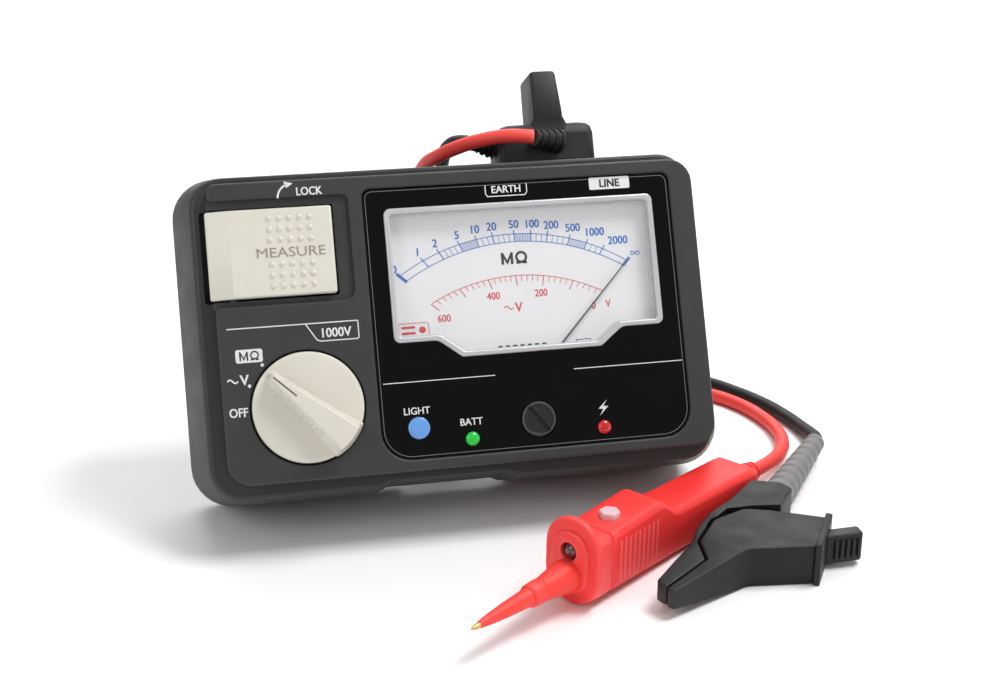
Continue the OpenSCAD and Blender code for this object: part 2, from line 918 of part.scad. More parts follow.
module plug_strain_reliefs() {
  front_z = plug_z + plug_depth / 2;
  left_x = plug_x - plug_w / 2;
  color(soot) on_case() {
    ribbed_cone([38, 54, front_z], [29.5, 54.5, -11], 8, 5.2, 4);
    ribbed_cone([left_x, 55, plug_z], [14.5, 56, plug_z], 8, 5.2, 3);
  }
}

// ---- Leads ----

module red_lead_upper() {
  color(coral) on_table() tube(red_upper_route, cord_d);
}

module red_lead_coil() {
  color(coral) on_table() coil(red_coil);
}

module red_lead_lower() {
  color(coral) on_table() tube(red_lower_route, cord_d);
}

module black_lead_upper() {
  color(soot) on_table() tube(black_upper_route, cord_d);
}

module black_lead_coil() {
  color(soot) on_table() coil(black_coil);
}

module black_lead_lower() {
  color(soot) on_table() tube(black_lower_route, cord_d);
}

// Strap around the strands of each coil, on its far side.
module coil_ties() {
  inner = coil_d / 2 - coil_width / 2;
  color(soot) on_table()
    for (at = [red_coil, black_coil])
      translate(at)
        rotate([0, 0, 82])
          rotate_extrude(angle = 16)
            translate([inner, 0])
              difference() {
                translate([-tie_t, 0]) square([coil_width + 2 * tie_t, coil_height + 2 * tie_t]);
                translate([0, tie_t]) square([coil_width, coil_height]);
              }
}

// ---- Line probe ----

// Outline with two round ends, in the plane across the probe.
module upright_slot(width, low, high) {
  radius = width / 2;
  hull() {
    translate([0, low + radius]) circle(radius);
    translate([0, high - radius]) circle(radius);
  }
}

// Turns a flat outline (across, up) into a slab along the probe.
module across_probe(x, length) {
  translate([x, 0, 0]) rotate([90, 0, 90]) linear_extrude(length) children();
}

module probe_nose() {
  color(coral) on_probe() difference() {
    union() {
      across_probe(0, flange_t) upright_slot(flange_w, 0, flange_h);
      across_probe(-1.4, 2) upright_slot(flange_w - 6, 3.5, flange_h - 3.5);
      across_probe(flange_t - eps, nose_len - flange_t) probe_section(body_top, 0);
    }
    across_probe(-5, 20) translate([0, probe_axis_z]) circle(d = 7);
    across_probe(-5, 20) translate([0, lamp_z]) circle(d = 5.4);
  }
}

// Cross-section of the handle: a box with cut corners.
module probe_section(top, inset) {
  half = body_w / 2 - inset;
  low = body_floor + inset;
  cut = 2.4 - inset / 2;
  polygon([
    [-half, low + cut], [-half + cut, low], [half - cut, low], [half, low + cut],
    [half, top - inset - cut], [half - cut, top - inset],
    [-half + cut, top - inset], [-half, top - inset - cut]
  ]);
}

module probe_shell(inset) {
  hull() {
    across_probe(nose_len + inset / 2, eps) probe_section(body_top, inset);
    across_probe(hump_x, eps) probe_section(body_top + hump_rise, inset);
  }
  hull() {
    across_probe(hump_x, eps) probe_section(body_top + hump_rise, inset);
    across_probe(hump_x + 9, eps) probe_section(handle_top, inset);
  }
  hull() {
    across_probe(hump_x + 9, eps) probe_section(handle_top, inset);
    across_probe(tail_x - 4, eps) probe_section(handle_top - 1, inset);
    across_probe(tail_x - inset, eps) probe_section(handle_top - 4, inset + 1.5);
  }
}

module probe_handle() {
  color(coral) on_probe() difference() {
    union() {
      probe_shell(0);
      for (i = [0:8], side = [-1, 1])
        translate([12 + 2.1 * i, side * (body_w / 2 - 0.1) - 0.4, 5]) cube([1.1, 0.8, 11.5]);
      ribbed_cone([tail_x - 1, 0, probe_tail_z], [tail_x + 6, 0, probe_tail_z], 8, 5.8, 3);
    }
    probe_shell(handle_wall);
    translate([probe_button_x, 0, body_top - 6]) cylinder(h = 12, d = 6.4);
    translate([tail_x - 5, 0, probe_tail_z]) rotate([0, 90, 0]) cylinder(h = 12, d = cord_d);
  }
}

// Rubber sleeve on the tip: a flare, a collar and a long taper.
module probe_tip_sleeve() {
  color(coral) on_probe()
    translate([0, 0, probe_axis_z])
      rotate([0, -90, 0])
        rotate_extrude()
          polygon([
            [0.75, -6], [3.5, -6], [3.5, 0], [4.6, 1.4], [4.5, 4], [3.1, 12], [3.3, 13], [3.1, 17.4],
            [2.5, 18], [2, 27], [1, 37], [0.75, 37]
          ]);
}

module probe_tip() {
  color(brass) on_probe()
    translate([0, 0, probe_axis_z])
      rotate([0, -90, 0])
        rotate_extrude()
          polygon([[0, -8], [0.75, -8], [0.75, 38.5], [0.3, 40], [0, 40]]);
}

module probe_lamp() {
  color([0.9, 0.9, 0.95]) on_probe()
    translate([0.5, 0, lamp_z])
      rotate([0, 90, 0]) {
        cylinder(h = 8, d = 4.6);
        sphere(d = 4.6);
      }
}

module probe_button() {
  color([0.95, 0.82, 0.84]) on_probe()
    translate([probe_button_x, 0, 0]) {
      translate([0, 0, body_top - 4]) cylinder(h = 6.2, d = 5.8);
      translate([0, 0, body_top - 4]) cylinder(h = 1.2, d = 8);
    }
}

module probe_switch() {
  color(soot) on_probe()
    translate([probe_button_x, 0, 0]) {
      translate([-3, -3, 10.7]) cube([6, 6, 3]);
      translate([0, 0, 13.6]) cylinder(h = 1.2, d = 3);
    }
}

module probe_board() {
  color(board_green) on_probe() translate([nose_len + 3, -5, 9.5]) cube([44, 10, 1.2]);
}

// ---- Earth clip ----

// Outlines of the levers, jaws closed: the jaws meet along y = 0.
module clip_front_outline() {
  polygon([
    [-37.6, -2.8], [-36.8, -jaw_gap], [-20, -jaw_gap], [-14.6, 6.6], [-2, 11.6], [9.5, 9.6],
    [13.8, 4], [22, -10.5], [5.5, -18.5], [-9, -6.2]
  ]);
}

module clip_rear_outline() {
  polygon([
    [-36.8, jaw_gap], [-36, 4.1], [-15.5, 8.4], [-10, 11.6], [0, 15], [12, 16.2], [26, 19.4],
    [31, 12], [30, 7.2], [15, 2], [5, -4.5], [-4, -4.5], [-9, jaw_gap]
  ]);
}

// Everything that the front lever's cheeks sweep over, with room to spare.
module clip_cheek_sweep() {
  for (angle = [0:clip_opening / 4:clip_opening])
    rotate([0, 0, angle])
      polygon([
        [-21, -jaw_gap], [-15.3, 7.1], [-2.2, 12.3], [9.9, 10.2], [14.5, 4.4], [22.9, -10.3],
        [20, -30], [-21, -30]
      ]);
}

// Room between the front lever's cheeks for the rear lever.
module clip_slot() {
  polygon([
    [-21, -jaw_gap], [-14.5, -jaw_gap], [-8, -6.6], [4, -8], [26, -12], [30, 20], [-21, 20]
  ]);
}

// Side view of the clip, drawn in by a margin: the jaws grow thinner towards their tips.
module clip_side_view(margin) {
  low = margin - 1;
  high = clip_t + 1 - margin;
  rotate([90, 0, 0])
    translate([0, 0, -40])
      linear_extrude(80)
        polygon([
          [-39, margin + jaw_tip_low], [-4, low], [60, low], [60, high], [-4, high],
          [-39, clip_t - margin - jaw_tip_low]
        ]);
}

// Room for both strips of teeth.
module tooth_recess(y) {
  intersection() {
    translate([-35, y, 1]) cube([tooth_strip_len, 2, clip_t - 2]);
    clip_side_view(1.2);
  }
}

module clip_front_lever() {
  cheek_gap = clip_t - 2 * cheek_t;
  color(soot) on_clip() {
    difference() {
      intersection() {
        linear_extrude(clip_t) clip_front_outline();
        clip_side_view(0);
      }
      plate(cheek_t, cheek_gap) clip_slot();
      translate([0, 0, cheek_t - 2.4]) cylinder(h = cheek_gap + 4.8, d = clip_pin_d);
      tooth_recess(-1.5);
    }
    clip_collar();
    clip_grip();
  }
}

// Fold of the boot where the grip comes out.
module clip_collar() {
  difference() {
    plate(0, clip_t + 0.8)
      polygon([[22.6, -9.6], [23.3, -11.2], [5.6, -20], [4.6, -18.6]]);
    plate(cheek_t, clip_t - 2 * cheek_t) clip_slot();
  }
}

module clip_grip() {
  difference() {
    plate(1.2, clip_t - 3)
      polygon([[15, -15.4], [24.6, -21.3], [26.8, -17.5], [17.6, -12.4]]);
    for (i = [0:4])
      translate([16.6, -16.6, 2.8])
        rotate([0, 0, -31.6])
          translate([1 + 1.7 * i, -1, 0]) cube([0.8, 1.8, clip_t - 6.2]);
  }
}

module clip_rear_lever() {
  color(soot) on_clip() difference() {
    intersection() {
      linear_extrude(clip_t) clip_rear_outline();
      clip_side_view(0);
    }
    plate(-1, cheek_t + clearance + 1) clip_cheek_sweep();
    plate(clip_t - cheek_t - clearance, cheek_t + clearance + 1) clip_cheek_sweep();
    cylinder(h = clip_t, d = clip_pin_d + 2 * running);
    translate([0, 0, clip_t / 2]) cylinder(h = clip_t, d = 8.4);
    tooth_recess(-0.5);
    translate([26, 12.8, clip_t / 2]) rotate([0, 90, 10]) cylinder(h = 6, d = 6);
  }
}

module clip_pin() {
  color("silver") on_clip()
    translate([0, 0, cheek_t - 2.4]) cylinder(h = clip_t - 2 * cheek_t + 4.8, d = clip_pin_d);
}

// Closed turns of the spring that shuts the jaws.
module clip_spring() {
  color("silver") on_clip()
    for (turn = [0:2])
      translate([0, 0, clip_t / 2 + 0.5 + 0.8 * turn])
        rotate_extrude() translate([2.6, 0]) circle(d = 0.9, $fn = 16);
}

// Strip of saw teeth, seen from the side of the clip.
module tooth_strip(flip) {
  tooth = tooth_strip_len / 9;
  intersection() {
    plate(1, clip_t - 2)
      mirror([0, flip, 0])
        polygon(concat(
          [[-35, -1.5]],
          [for (i = [0:8]) each [[-35 + i * tooth, -0.7], [-35 + (i + 0.5) * tooth, -0.15]]],
          [[-35 + tooth_strip_len, -0.7], [-35 + tooth_strip_len, -1.5]]
        ));
    clip_side_view(1.3);
  }
}

module clip_front_teeth() {
  color("silver") on_clip() tooth_strip(0);
}

module clip_rear_teeth() {
  color("silver") on_clip() tooth_strip(1);
}

module clip_strain_relief() {
  color(relief_grey) on_clip() ribbed_cone(relief_start, relief_end, 10.4, 6.2, 9);
}

front_case();
rear_case();
case_screws();
front_panel();
window_frame();
window_lens();
scale_plate();
pointer();
moving_coil();
meter_yoke();
meter_core();
meter_frame();
zero_adjust_screw();
measure_key();
key_pin();
key_spring();
measure_switch();
selector_knob();
selector_shaft();
rotary_switch();
light_button();
light_switch();
battery_led();
warning_led();
display_board();
main_board();
hv_transformer();
terminal_block();
terminal_sockets();
battery_cover();
battery_cover_screw();
batteries();
battery_contacts();
tilt_stand();
stand_pin();
plug_body();
plug_pins();
plug_strain_reliefs();
red_lead_upper();
red_lead_coil();
red_lead_lower();
black_lead_upper();
black_lead_coil();
black_lead_lower();
coil_ties();
probe_nose();
probe_handle();
probe_tip_sleeve();
probe_tip();
probe_button();
probe_switch();
probe_lamp();
probe_board();
clip_front_lever();
clip_rear_lever();
clip_pin();
clip_spring();
clip_front_teeth();
clip_rear_teeth();
clip_strain_relief();
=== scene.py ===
"""Looks of the insulation resistance tester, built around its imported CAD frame.

Sizes inside the part are in millimetres along its own axes (case, table, probe or clip).
Each of those frames is a matrix that takes such a point to metres in the row frame.
"""

import json
import math

import bmesh
import bpy
from mathutils import Matrix, Vector


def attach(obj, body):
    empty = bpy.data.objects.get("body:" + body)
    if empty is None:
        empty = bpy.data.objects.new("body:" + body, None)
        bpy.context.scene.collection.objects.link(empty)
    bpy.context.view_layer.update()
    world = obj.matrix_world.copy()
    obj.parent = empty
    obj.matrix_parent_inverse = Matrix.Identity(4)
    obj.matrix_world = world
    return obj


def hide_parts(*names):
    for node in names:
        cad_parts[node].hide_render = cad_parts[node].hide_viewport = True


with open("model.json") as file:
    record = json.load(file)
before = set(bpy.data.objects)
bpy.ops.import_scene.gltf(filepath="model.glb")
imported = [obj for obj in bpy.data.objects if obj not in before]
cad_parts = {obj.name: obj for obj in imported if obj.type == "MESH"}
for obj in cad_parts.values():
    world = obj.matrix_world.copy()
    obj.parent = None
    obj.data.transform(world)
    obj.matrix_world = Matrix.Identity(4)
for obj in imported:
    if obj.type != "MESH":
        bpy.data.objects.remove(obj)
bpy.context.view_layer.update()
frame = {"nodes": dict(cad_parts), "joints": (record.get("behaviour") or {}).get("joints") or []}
MM = 0.001

# ---- Frames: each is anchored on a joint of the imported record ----


def joint(name):
    return next(j for j in frame["joints"] if j["name"] == name)


def local_frame(origin, x_axis, z_axis):
    turn = Matrix((x_axis, z_axis.cross(x_axis), z_axis)).transposed().to_4x4()
    return Matrix.Translation(origin) @ turn @ Matrix.Scale(MM, 4)


NEEDLE_PIVOT = Vector((20.8, -19.1, -3))
CLIP_PIVOT = Vector((73, -71, 6))
PROBE_FOOT = Vector((18.5, -79.5, 0.068))
CLIP_YAW = 33

face_normal = Vector(joint("needle_turn")["axis"])
CASE = local_frame(Vector(joint("needle_turn")["pos_m"]), Vector((1, 0, 0)), face_normal)
CASE = CASE @ Matrix.Translation(-NEEDLE_PIVOT)
TABLE = local_frame(Vector(joint("clip_jaw_open")["pos_m"]), Vector((1, 0, 0)), Vector((0, 0, 1)))
TABLE = TABLE @ Matrix.Translation(-CLIP_PIVOT)
probe_up = -Vector(joint("probe_button_press")["axis"])
probe_side = Vector((-probe_up.y, probe_up.x, 0))
PROBE = local_frame(TABLE @ PROBE_FOOT, probe_side.cross(probe_up).normalized(), probe_up)
CLIP = TABLE @ Matrix.Translation((CLIP_PIVOT.x, CLIP_PIVOT.y, 0))
CLIP = CLIP @ Matrix.Rotation(math.radians(CLIP_YAW), 4, "Z")


def linked(name, data):
    """A new object in the scene."""
    obj = bpy.data.objects.new(name, data)
    bpy.context.scene.collection.objects.link(obj)
    return obj


# ---- Camera ----

LENS_MM = 57.17
SENSOR_MM = 36
NEAR_LIMIT = 0.01
CAMERA_AT = Vector((-77.45, -443.3, 224.55))
CAMERA_FORWARD = Vector((0.1918, 0.9104, -0.3666))
CAMERA_UP = Vector((0.0756, 0.3587, 0.9304))


def make_camera():
    data = bpy.data.cameras.new("camera")
    data.lens = LENS_MM
    data.sensor_width = SENSOR_MM
    data.clip_start = NEAR_LIMIT
    camera = linked("camera", data)
    forward = CAMERA_FORWARD.normalized()
    right = forward.cross(CAMERA_UP).normalized()
    turn = Matrix((right, right.cross(forward), -forward)).transposed().to_4x4()
    camera.matrix_world = Matrix.Translation(TABLE @ CAMERA_AT) @ turn
    bpy.context.scene.camera = camera


make_camera()

# ---- Materials ----


def linear(colour):
    """Colour given as it looks on screen, 0 to 255, in the renderer's linear units."""
    shares = [c / 255 for c in colour]
    return [s / 12.92 if s <= 0.04045 else ((s + 0.055) / 1.055) ** 2.4 for s in shares] + [1]


def add_noise(nodes, links, where, scale, detail):
    noise = nodes.new("ShaderNodeTexNoise")
    noise.inputs["Scale"].default_value = scale
    noise.inputs["Detail"].default_value = detail
    links.new(where, noise.inputs["Vector"])
    return noise.outputs["Fac"]


def add_range(nodes, links, source, low, high, from_low=0.3, from_high=0.7):
    spread = nodes.new("ShaderNodeMapRange")
    spread.inputs["From Min"].default_value = from_low
    spread.inputs["From Max"].default_value = from_high
    spread.inputs["To Min"].default_value = low
    spread.inputs["To Max"].default_value = high
    links.new(source, spread.inputs["Value"])
    return spread.outputs["Result"]


def add_mix(nodes, links, amount, first, second):
    mix = nodes.new("ShaderNodeMix")
    mix.data_type = "RGBA"
    links.new(amount, mix.inputs["Factor"])
    mix.inputs["A"].default_value = (0, 0, 0, 1)
    for colour, socket in ((first, mix.inputs["A"]), (second, mix.inputs["B"])):
        if isinstance(colour, bpy.types.NodeSocket):
            links.new(colour, socket)
        else:
            socket.default_value = colour
    return mix.outputs["Result"]


TONE_SCALE = 60
POLISH_SCALE = 140
RELIEF_DEPTH = 0.0001
# Pointiness range over which edges turn pale: partly edge wear, partly a painted highlight.
EDGE_WEAR_AND_HIGHLIGHT = (0.52, 0.62)


def finish(name, colour, rough=0.45, spread=0.06, edge_wear_and_highlight=0.12, grain=2600, bump=0.12, **shader_values):
    """Procedural surface: blotches of tone, fine grain in the relief, polish that varies and paler edges,
    partly edge wear and partly a painted highlight.
    """
    material = bpy.data.materials.new(name)
    material.use_nodes = True
    nodes = material.node_tree.nodes
    links = material.node_tree.links
    shader = nodes["Principled BSDF"]
    where = nodes.new("ShaderNodeTexCoord").outputs["Object"]
    base = linear(colour)
    dark = [c * (1 - spread) for c in base[:3]] + [1]
    pale = [min(1, c * (1 + spread)) for c in base[:3]] + [1]
    # Paler colour on sharp edges: partly edge wear, partly a painted highlight.
    worn_and_highlit = [c + (1 - c) * edge_wear_and_highlight for c in base[:3]] + [1]
    tone = add_range(nodes, links, add_noise(nodes, links, where, TONE_SCALE, 4), 0, 1)
    coloured = add_mix(nodes, links, tone, dark, pale)
    pointed = nodes.new("ShaderNodeNewGeometry").outputs["Pointiness"]
    edge = add_range(nodes, links, pointed, 0, 1, *EDGE_WEAR_AND_HIGHLIGHT)
    links.new(add_mix(nodes, links, edge, coloured, worn_and_highlit), shader.inputs["Base Color"])
    polish = add_noise(nodes, links, where, POLISH_SCALE, 3)
    links.new(add_range(nodes, links, polish, rough * 0.88, rough * 1.12), shader.inputs["Roughness"])
    relief = nodes.new("ShaderNodeBump")
    relief.inputs["Strength"].default_value = bump
    relief.inputs["Distance"].default_value = RELIEF_DEPTH
    links.new(add_noise(nodes, links, where, grain, 3), relief.inputs["Height"])
    links.new(relief.outputs["Normal"], shader.inputs["Normal"])
    for socket, value in shader_values.items():
        shader.inputs[socket.replace("_", " ")].default_value = value
    return material


def ink(name, colour):
    return finish(name, colour, rough=0.5, spread=0.02, edge_wear_and_highlight=0)


def rubber(name, colour, rough, edge_wear_and_highlight, **more):
    return finish(name, colour, rough=rough, edge_wear_and_highlight=edge_wear_and_highlight, bump=0.2, **more)


def lamp(name, colour):
    return finish(name, colour, rough=0.2, spread=0.05, bump=0.02, Coat_Weight=0.6)


charcoal = finish("charcoal", (54, 55, 55), rough=0.45, bump=0.25, edge_wear_and_highlight=0, Specular_IOR_Level=0.35)
# Copy of the case plastic, a little paler, for the front face: painted light on the lit face, with the side
# walls keeping the darker charcoal.
charcoal_lit_face = finish("charcoal_lit_face", (58, 59, 59), rough=0.45, bump=0.25, edge_wear_and_highlight=0, Specular_IOR_Level=0.35)
# Near-black for the cups under the key and the knob: painted shade in the recesses, darker than the case
# plastic.
painted_well_shade = finish("painted_well_shade", (18, 18, 19), rough=0.6)
piano_black = finish(
    "piano_black", (4, 4, 5), rough=0.2, spread=0.02, edge_wear_and_highlight=0, bump=0.01, Specular_IOR_Level=0.2,
)
ivory = finish("ivory", (218, 214, 202), rough=0.38, spread=0.025, edge_wear_and_highlight=0.1, bump=0.1)
silver = finish("silver", (200, 201, 203), rough=0.32, spread=0.03, edge_wear_and_highlight=0, bump=0.03, Metallic=0.3)
bezel_grey = finish("bezel_grey", (196, 197, 200), rough=0.5, spread=0.03, edge_wear_and_highlight=0)
scale_white = finish("scale_white", (226, 226, 227), rough=0.55, spread=0.012, bump=0.03)
print_white = ink("print_white", (222, 224, 222))
print_dark = ink("print_dark", (38, 38, 40))
print_black = ink("print_black", (12, 12, 14))
print_blue = ink("print_blue", (24, 104, 186))
print_red = ink("print_red", (206, 52, 52))
needle_grey = finish("needle_grey", (74, 76, 78), rough=0.4, spread=0.02, edge_wear_and_highlight=0)
satin_black = finish("satin_black", (34, 34, 36), rough=0.3, bump=0.08)
switch_black = finish("switch_black", (24, 24, 26), rough=0.5)
sky_blue = finish("sky_blue", (104, 158, 226), rough=0.25, spread=0.04, bump=0.03, Coat_Weight=0.4)
lamp_green = lamp("lamp_green", (20, 205, 62))
lamp_red = lamp("lamp_red", (206, 22, 24))
lamp_violet = finish("lamp_violet", (88, 52, 58), rough=0.15, spread=0.1, bump=0.02, Coat_Weight=0.8)
blush = finish("blush", (226, 190, 196), rough=0.35, spread=0.03, bump=0.05)
coral = finish("coral", (248, 56, 54), rough=0.42, spread=0.03, edge_wear_and_highlight=0.1, bump=0.12, Specular_IOR_Level=0.35)
coral_soft = finish("coral_soft", (246, 58, 48), rough=0.5, spread=0.03, edge_wear_and_highlight=0.1, grain=1800, bump=0.15)
rubber_black = rubber("rubber_black", (22, 22, 24), 0.5, 0.06, Specular_IOR_Level=0.3)
rubber_grey = rubber("rubber_grey", (122, 120, 121), 0.6, 0.08)
steel = finish("steel", (176, 178, 182), rough=0.3, spread=0.05, Metallic=1.0)
brass = finish("brass", (206, 170, 96), rough=0.28, spread=0.05, Metallic=1.0)
copper = finish("copper", (186, 104, 58), rough=0.4, grain=4000, bump=0.5, Metallic=1.0)
board_green = finish("board_green", (24, 92, 54), rough=0.35, spread=0.15)
core_grey = finish("core_grey", (84, 84, 88), rough=0.5, spread=0.1)
cell_blue = finish("cell_blue", (52, 64, 140), rough=0.3, spread=0.05)
glass = finish("glass", (246, 250, 255), rough=0.05, spread=0.01, edge_wear_and_highlight=0, bump=0, Alpha=0.03)

# ---- Mesh helpers, in the millimetres of a frame ----

LEVEL_ENOUGH = 0.9999
PRINT_T = 0.05
CAP_SHARE = 0.72

def arc(centre, radius, start, end, steps):
    angles = [math.radians(start + (end - start) * i / steps) for i in range(steps + 1)]
    return [(centre[0] + radius * math.cos(a), centre[1] + radius * math.sin(a)) for a in angles]


def circle(x, y, diameter, steps=48):
    return arc((x, y), diameter / 2, 0, 360, steps)[:-1]


def rounded(corners, radii, steps=6):
    """Closed outline whose corners are turned, each with its own radius."""
    if isinstance(radii, (int, float)):
        radii = [radii] * len(corners)
    outline = []
    for i, radius in enumerate(radii):
        here = Vector(corners[i])
        back = Vector(corners[i - 1]) - here
        ahead = Vector(corners[(i + 1) % len(corners)]) - here
        half = back.angle(ahead) / 2
        reach = min(radius / math.tan(half), back.length * 0.49, ahead.length * 0.49)
        radius = reach * math.tan(half)
        middle = here + (back.normalized() + ahead.normalized()).normalized() * radius / math.sin(half)
        first = here + back.normalized() * reach - middle
        last = here + ahead.normalized() * reach - middle
        swing = first.angle_signed(last)
        for k in range(steps + 1):
            spoke = first.copy()
            spoke.rotate(Matrix.Rotation(-swing * k / steps, 2))
            outline.append(tuple(middle + spoke))
    return outline


def box(left, bottom, right, top, radii=1.0, steps=6):
    return rounded([(left, bottom), (right, bottom), (right, top), (left, top)], radii, steps)


def settle(mesh, at, smooth):
    """Takes a mesh to the row frame, with smooth curves, sharp corners and level faces left flat."""
    level = [abs(face.normal.z) > LEVEL_ENOUGH for face in mesh.polygons]
    mesh.transform(at)
    mesh.shade_smooth()
    mesh.set_sharp_from_angle(angle=math.radians(smooth))
    for face, is_level in zip(mesh.polygons, level):
        face.use_smooth = not is_level
    mesh.update()
    return mesh


def from_curve(curve, lift):
    holder = linked("holder", curve)
    bpy.context.view_layer.update()
    evaluated = holder.evaluated_get(bpy.context.evaluated_depsgraph_get())
    mesh = bpy.data.meshes.new_from_object(evaluated)
    bpy.data.objects.remove(holder)
    bpy.data.curves.remove(curve)
    mesh.transform(Matrix.Translation((0, 0, lift)))
    fix = bmesh.new()
    fix.from_mesh(mesh)
    bmesh.ops.remove_doubles(fix, verts=fix.verts, dist=1e-4)
    bmesh.ops.recalc_face_normals(fix, faces=fix.faces)
    fix.to_mesh(mesh)
    fix.free()
    return mesh


def plate(loops, low, high, bevel=0.3, steps=3):
    """Slab with an outline, any number of holes, and rounded edges."""
    curve = bpy.data.curves.new("plate", "CURVE")
    curve.dimensions = "2D"
    curve.fill_mode = "BOTH"
    curve.extrude = (high - low) / 2 - bevel
    curve.bevel_depth = bevel
    curve.bevel_resolution = steps
    curve.offset = -bevel
    for loop in loops:
        spline = curve.splines.new("POLY")
        spline.points.add(len(loop) - 1)
        for point, (x, y) in zip(spline.points, loop):
            point.co = (x, y, 0, 1)
        spline.use_cyclic_u = True
    return from_curve(curve, (low + high) / 2)


def block(loops, low, high):
    """Slab with square edges, for print and for cutting."""
    return plate(loops, low, high, bevel=0.01, steps=0)


def loft(rings, loop=False):
    """Skin over rings of equal length: a closed loop of them, or a run with both ends capped."""
    mesh = bpy.data.meshes.new("loft")
    build = bmesh.new()
    rows = [[build.verts.new(p) for p in ring] for ring in rings]
    pairs = list(zip(rows, rows[1:])) + ([(rows[-1], rows[0])] if loop else [])
    for low, high in pairs:
        for i in range(len(low)):
            build.faces.new((low[i - 1], low[i], high[i], high[i - 1]))
    if not loop:
        build.faces.new(rows[0])
        build.faces.new(rows[-1])
    bmesh.ops.remove_doubles(build, verts=build.verts, dist=1e-5)
    bmesh.ops.recalc_face_normals(build, faces=build.faces)
    build.to_mesh(mesh)
    build.free()
    return mesh


def lathe(profile, sides=48):
    """Profile of (radius, height) turned about z."""
    around = [2 * math.pi * k / sides for k in range(sides)]
    rings = []
    for radius, height in profile:
        radius = max(radius, 1e-6)
        rings.append([(radius * math.cos(a), radius * math.sin(a), height) for a in around])
    return loft(rings)


def stroke(points, width, z, loop=False):
    """Printed line of even width along a flat path."""
    path = [Vector(p) for p in points]
    rings = []
    for i, here in enumerate(path):
        before = path[i - 1] if i or loop else None
        after = path[(i + 1) % len(path)] if i + 1 < len(path) or loop else None
        sides = [(here - before).normalized()] if before is not None else []
        sides += [(after - here).normalized()] if after is not None else []
        along = sum(sides, Vector((0, 0))).normalized()
        across = Vector((-along.y, along.x)) * width / 2 / max(0.5, abs(along.dot(sides[0])))
        left = here + across
        right = here - across
        ends = ((left, -PRINT_T), (right, -PRINT_T), (right, PRINT_T), (left, PRINT_T))
        rings.append([(*end, z + rise) for end, rise in ends])
    return loft(rings, loop)


def lettering(words, x, y, height, z, bold=0.02, wide=1.0):
    """Printed figures, centred on a point. Bold ones are four copies set slightly apart."""
    curve = bpy.data.curves.new("lettering", "FONT")
    curve.body = words
    curve.size = height / CAP_SHARE
    curve.align_x = "CENTER"
    curve.align_y = "CENTER"
    curve.extrude = PRINT_T
    curve.resolution_u = 3
    mesh = from_curve(curve, z)
    heights = [v.co.y for v in mesh.vertices]
    middle = (min(heights) + max(heights)) / 2
    mesh.transform(Matrix.Translation((x, y - middle, 0)) @ Matrix.Diagonal((wide, 1, 1, 1)))
    if not bold:
        return mesh
    copies = []
    for i, (side, rise) in enumerate(((-1, -0.5), (1, 0.5), (1, -0.5), (-1, 0.5))):
        copies.append(moved(mesh.copy(), side * bold * height, rise * bold * height, i * 0.002))
    bpy.data.meshes.remove(mesh)
    return merged(copies)


def merged(meshes):
    """One mesh holding several, kept in their own order."""
    build = bmesh.new()
    for mesh in meshes:
        build.from_mesh(mesh)
    for mesh in meshes:
        bpy.data.meshes.remove(mesh)
    whole = bpy.data.meshes.new("merged")
    build.to_mesh(whole)
    build.free()
    return whole


def moved(mesh, x=0, y=0, z=0, turn=0, axis="Z"):
    mesh.transform(Matrix.Translation((x, y, z)) @ Matrix.Rotation(math.radians(turn), 4, axis))
    return mesh


def carved(solid, cutters):
    """The solid with each cutter taken away."""
    stock = linked("stock", solid)
    tools = []
    for cutter in cutters:
        tool = linked("tool", cutter)
        modifier = stock.modifiers.new("cut", "BOOLEAN")
        modifier.operation = "DIFFERENCE"
        modifier.solver = "EXACT"
        modifier.object = tool
        tools.append(tool)
    bpy.context.view_layer.update()
    evaluated = stock.evaluated_get(bpy.context.evaluated_depsgraph_get())
    result = bpy.data.meshes.new_from_object(evaluated)
    for spare in [stock, *tools]:
        bpy.data.objects.remove(spare)
    return result


def piece(name, mesh, material, stands_for=(), at=CASE, body="tester", smooth=35):
    """One visible piece on its body, in place of the CAD nodes it stands for."""
    settle(mesh, at, smooth)
    mesh.name = name
    mesh.materials.clear()
    mesh.materials.append(material)
    obj = linked(name, mesh)
    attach(obj, body)
    if stands_for:
        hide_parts(*stands_for)


def printed(name, marks, material):
    piece(name, merged(marks), material, smooth=20)


# ---- Leads: the routes are part.scad's, in table millimetres ----

CORD_D = 4.4
COIL_RADIUS = 23.5
TIE_T = 0.6
COIL_ROWS = 3
COIL_TURNS = 5.75
CROSSING_FROM = 0.86
STEPS_PER_TURN = 24
RED_COIL = Vector((-24, 104))
BLACK_COIL = Vector((46, 104))
RED_UPPER = [
    (29.5, 15, 106), (22, 16, 106.4), (14, 19.5, 104.6), (8, 24.5, 101.5), (3, 32, 97),
    (0, 42, 91.3), (-1, 51, 82), (-2, 58, 69), (-3, 63, 54), (-5, 67, 38), (-8, 71, 24),
    (-14, 76.5, 14.5), (-24, 78.3, 11.6),
]
BLACK_UPPER = [
    (14.5, 28, 101), (10, 30.6, 101.6), (7, 35, 99.3), (6, 40.3, 94), (7, 48, 87), (10, 55, 76),
    (14, 61, 60), (18, 66, 42), (24, 71, 27), (35, 76.8, 15.3), (46, 78.3, 11.6),
]
RED_LOWER = [
    (1.7, 104, 2.8), (2.2, 93.5, 2.6), (6.5, 82.5, 2.3), (15.3, 73.5, 2.2), (29.5, 67.5, 2.2),
    (46.5, 64, 2.2), (63, 61.5, 2.2), (78.5, 57.5, 2.2), (91.5, 51, 2.2), (101, 44, 2.2),
    (107.5, 35, 2.2), (111.7, 23, 2.2), (112.8, 11, 2.4), (110.8, 0.5, 2.8), (106, -9, 3.8),
    (99.5, -17, 5), (92.8, -23.3, 6.1), (86.1, -28.6, 6.9),
]
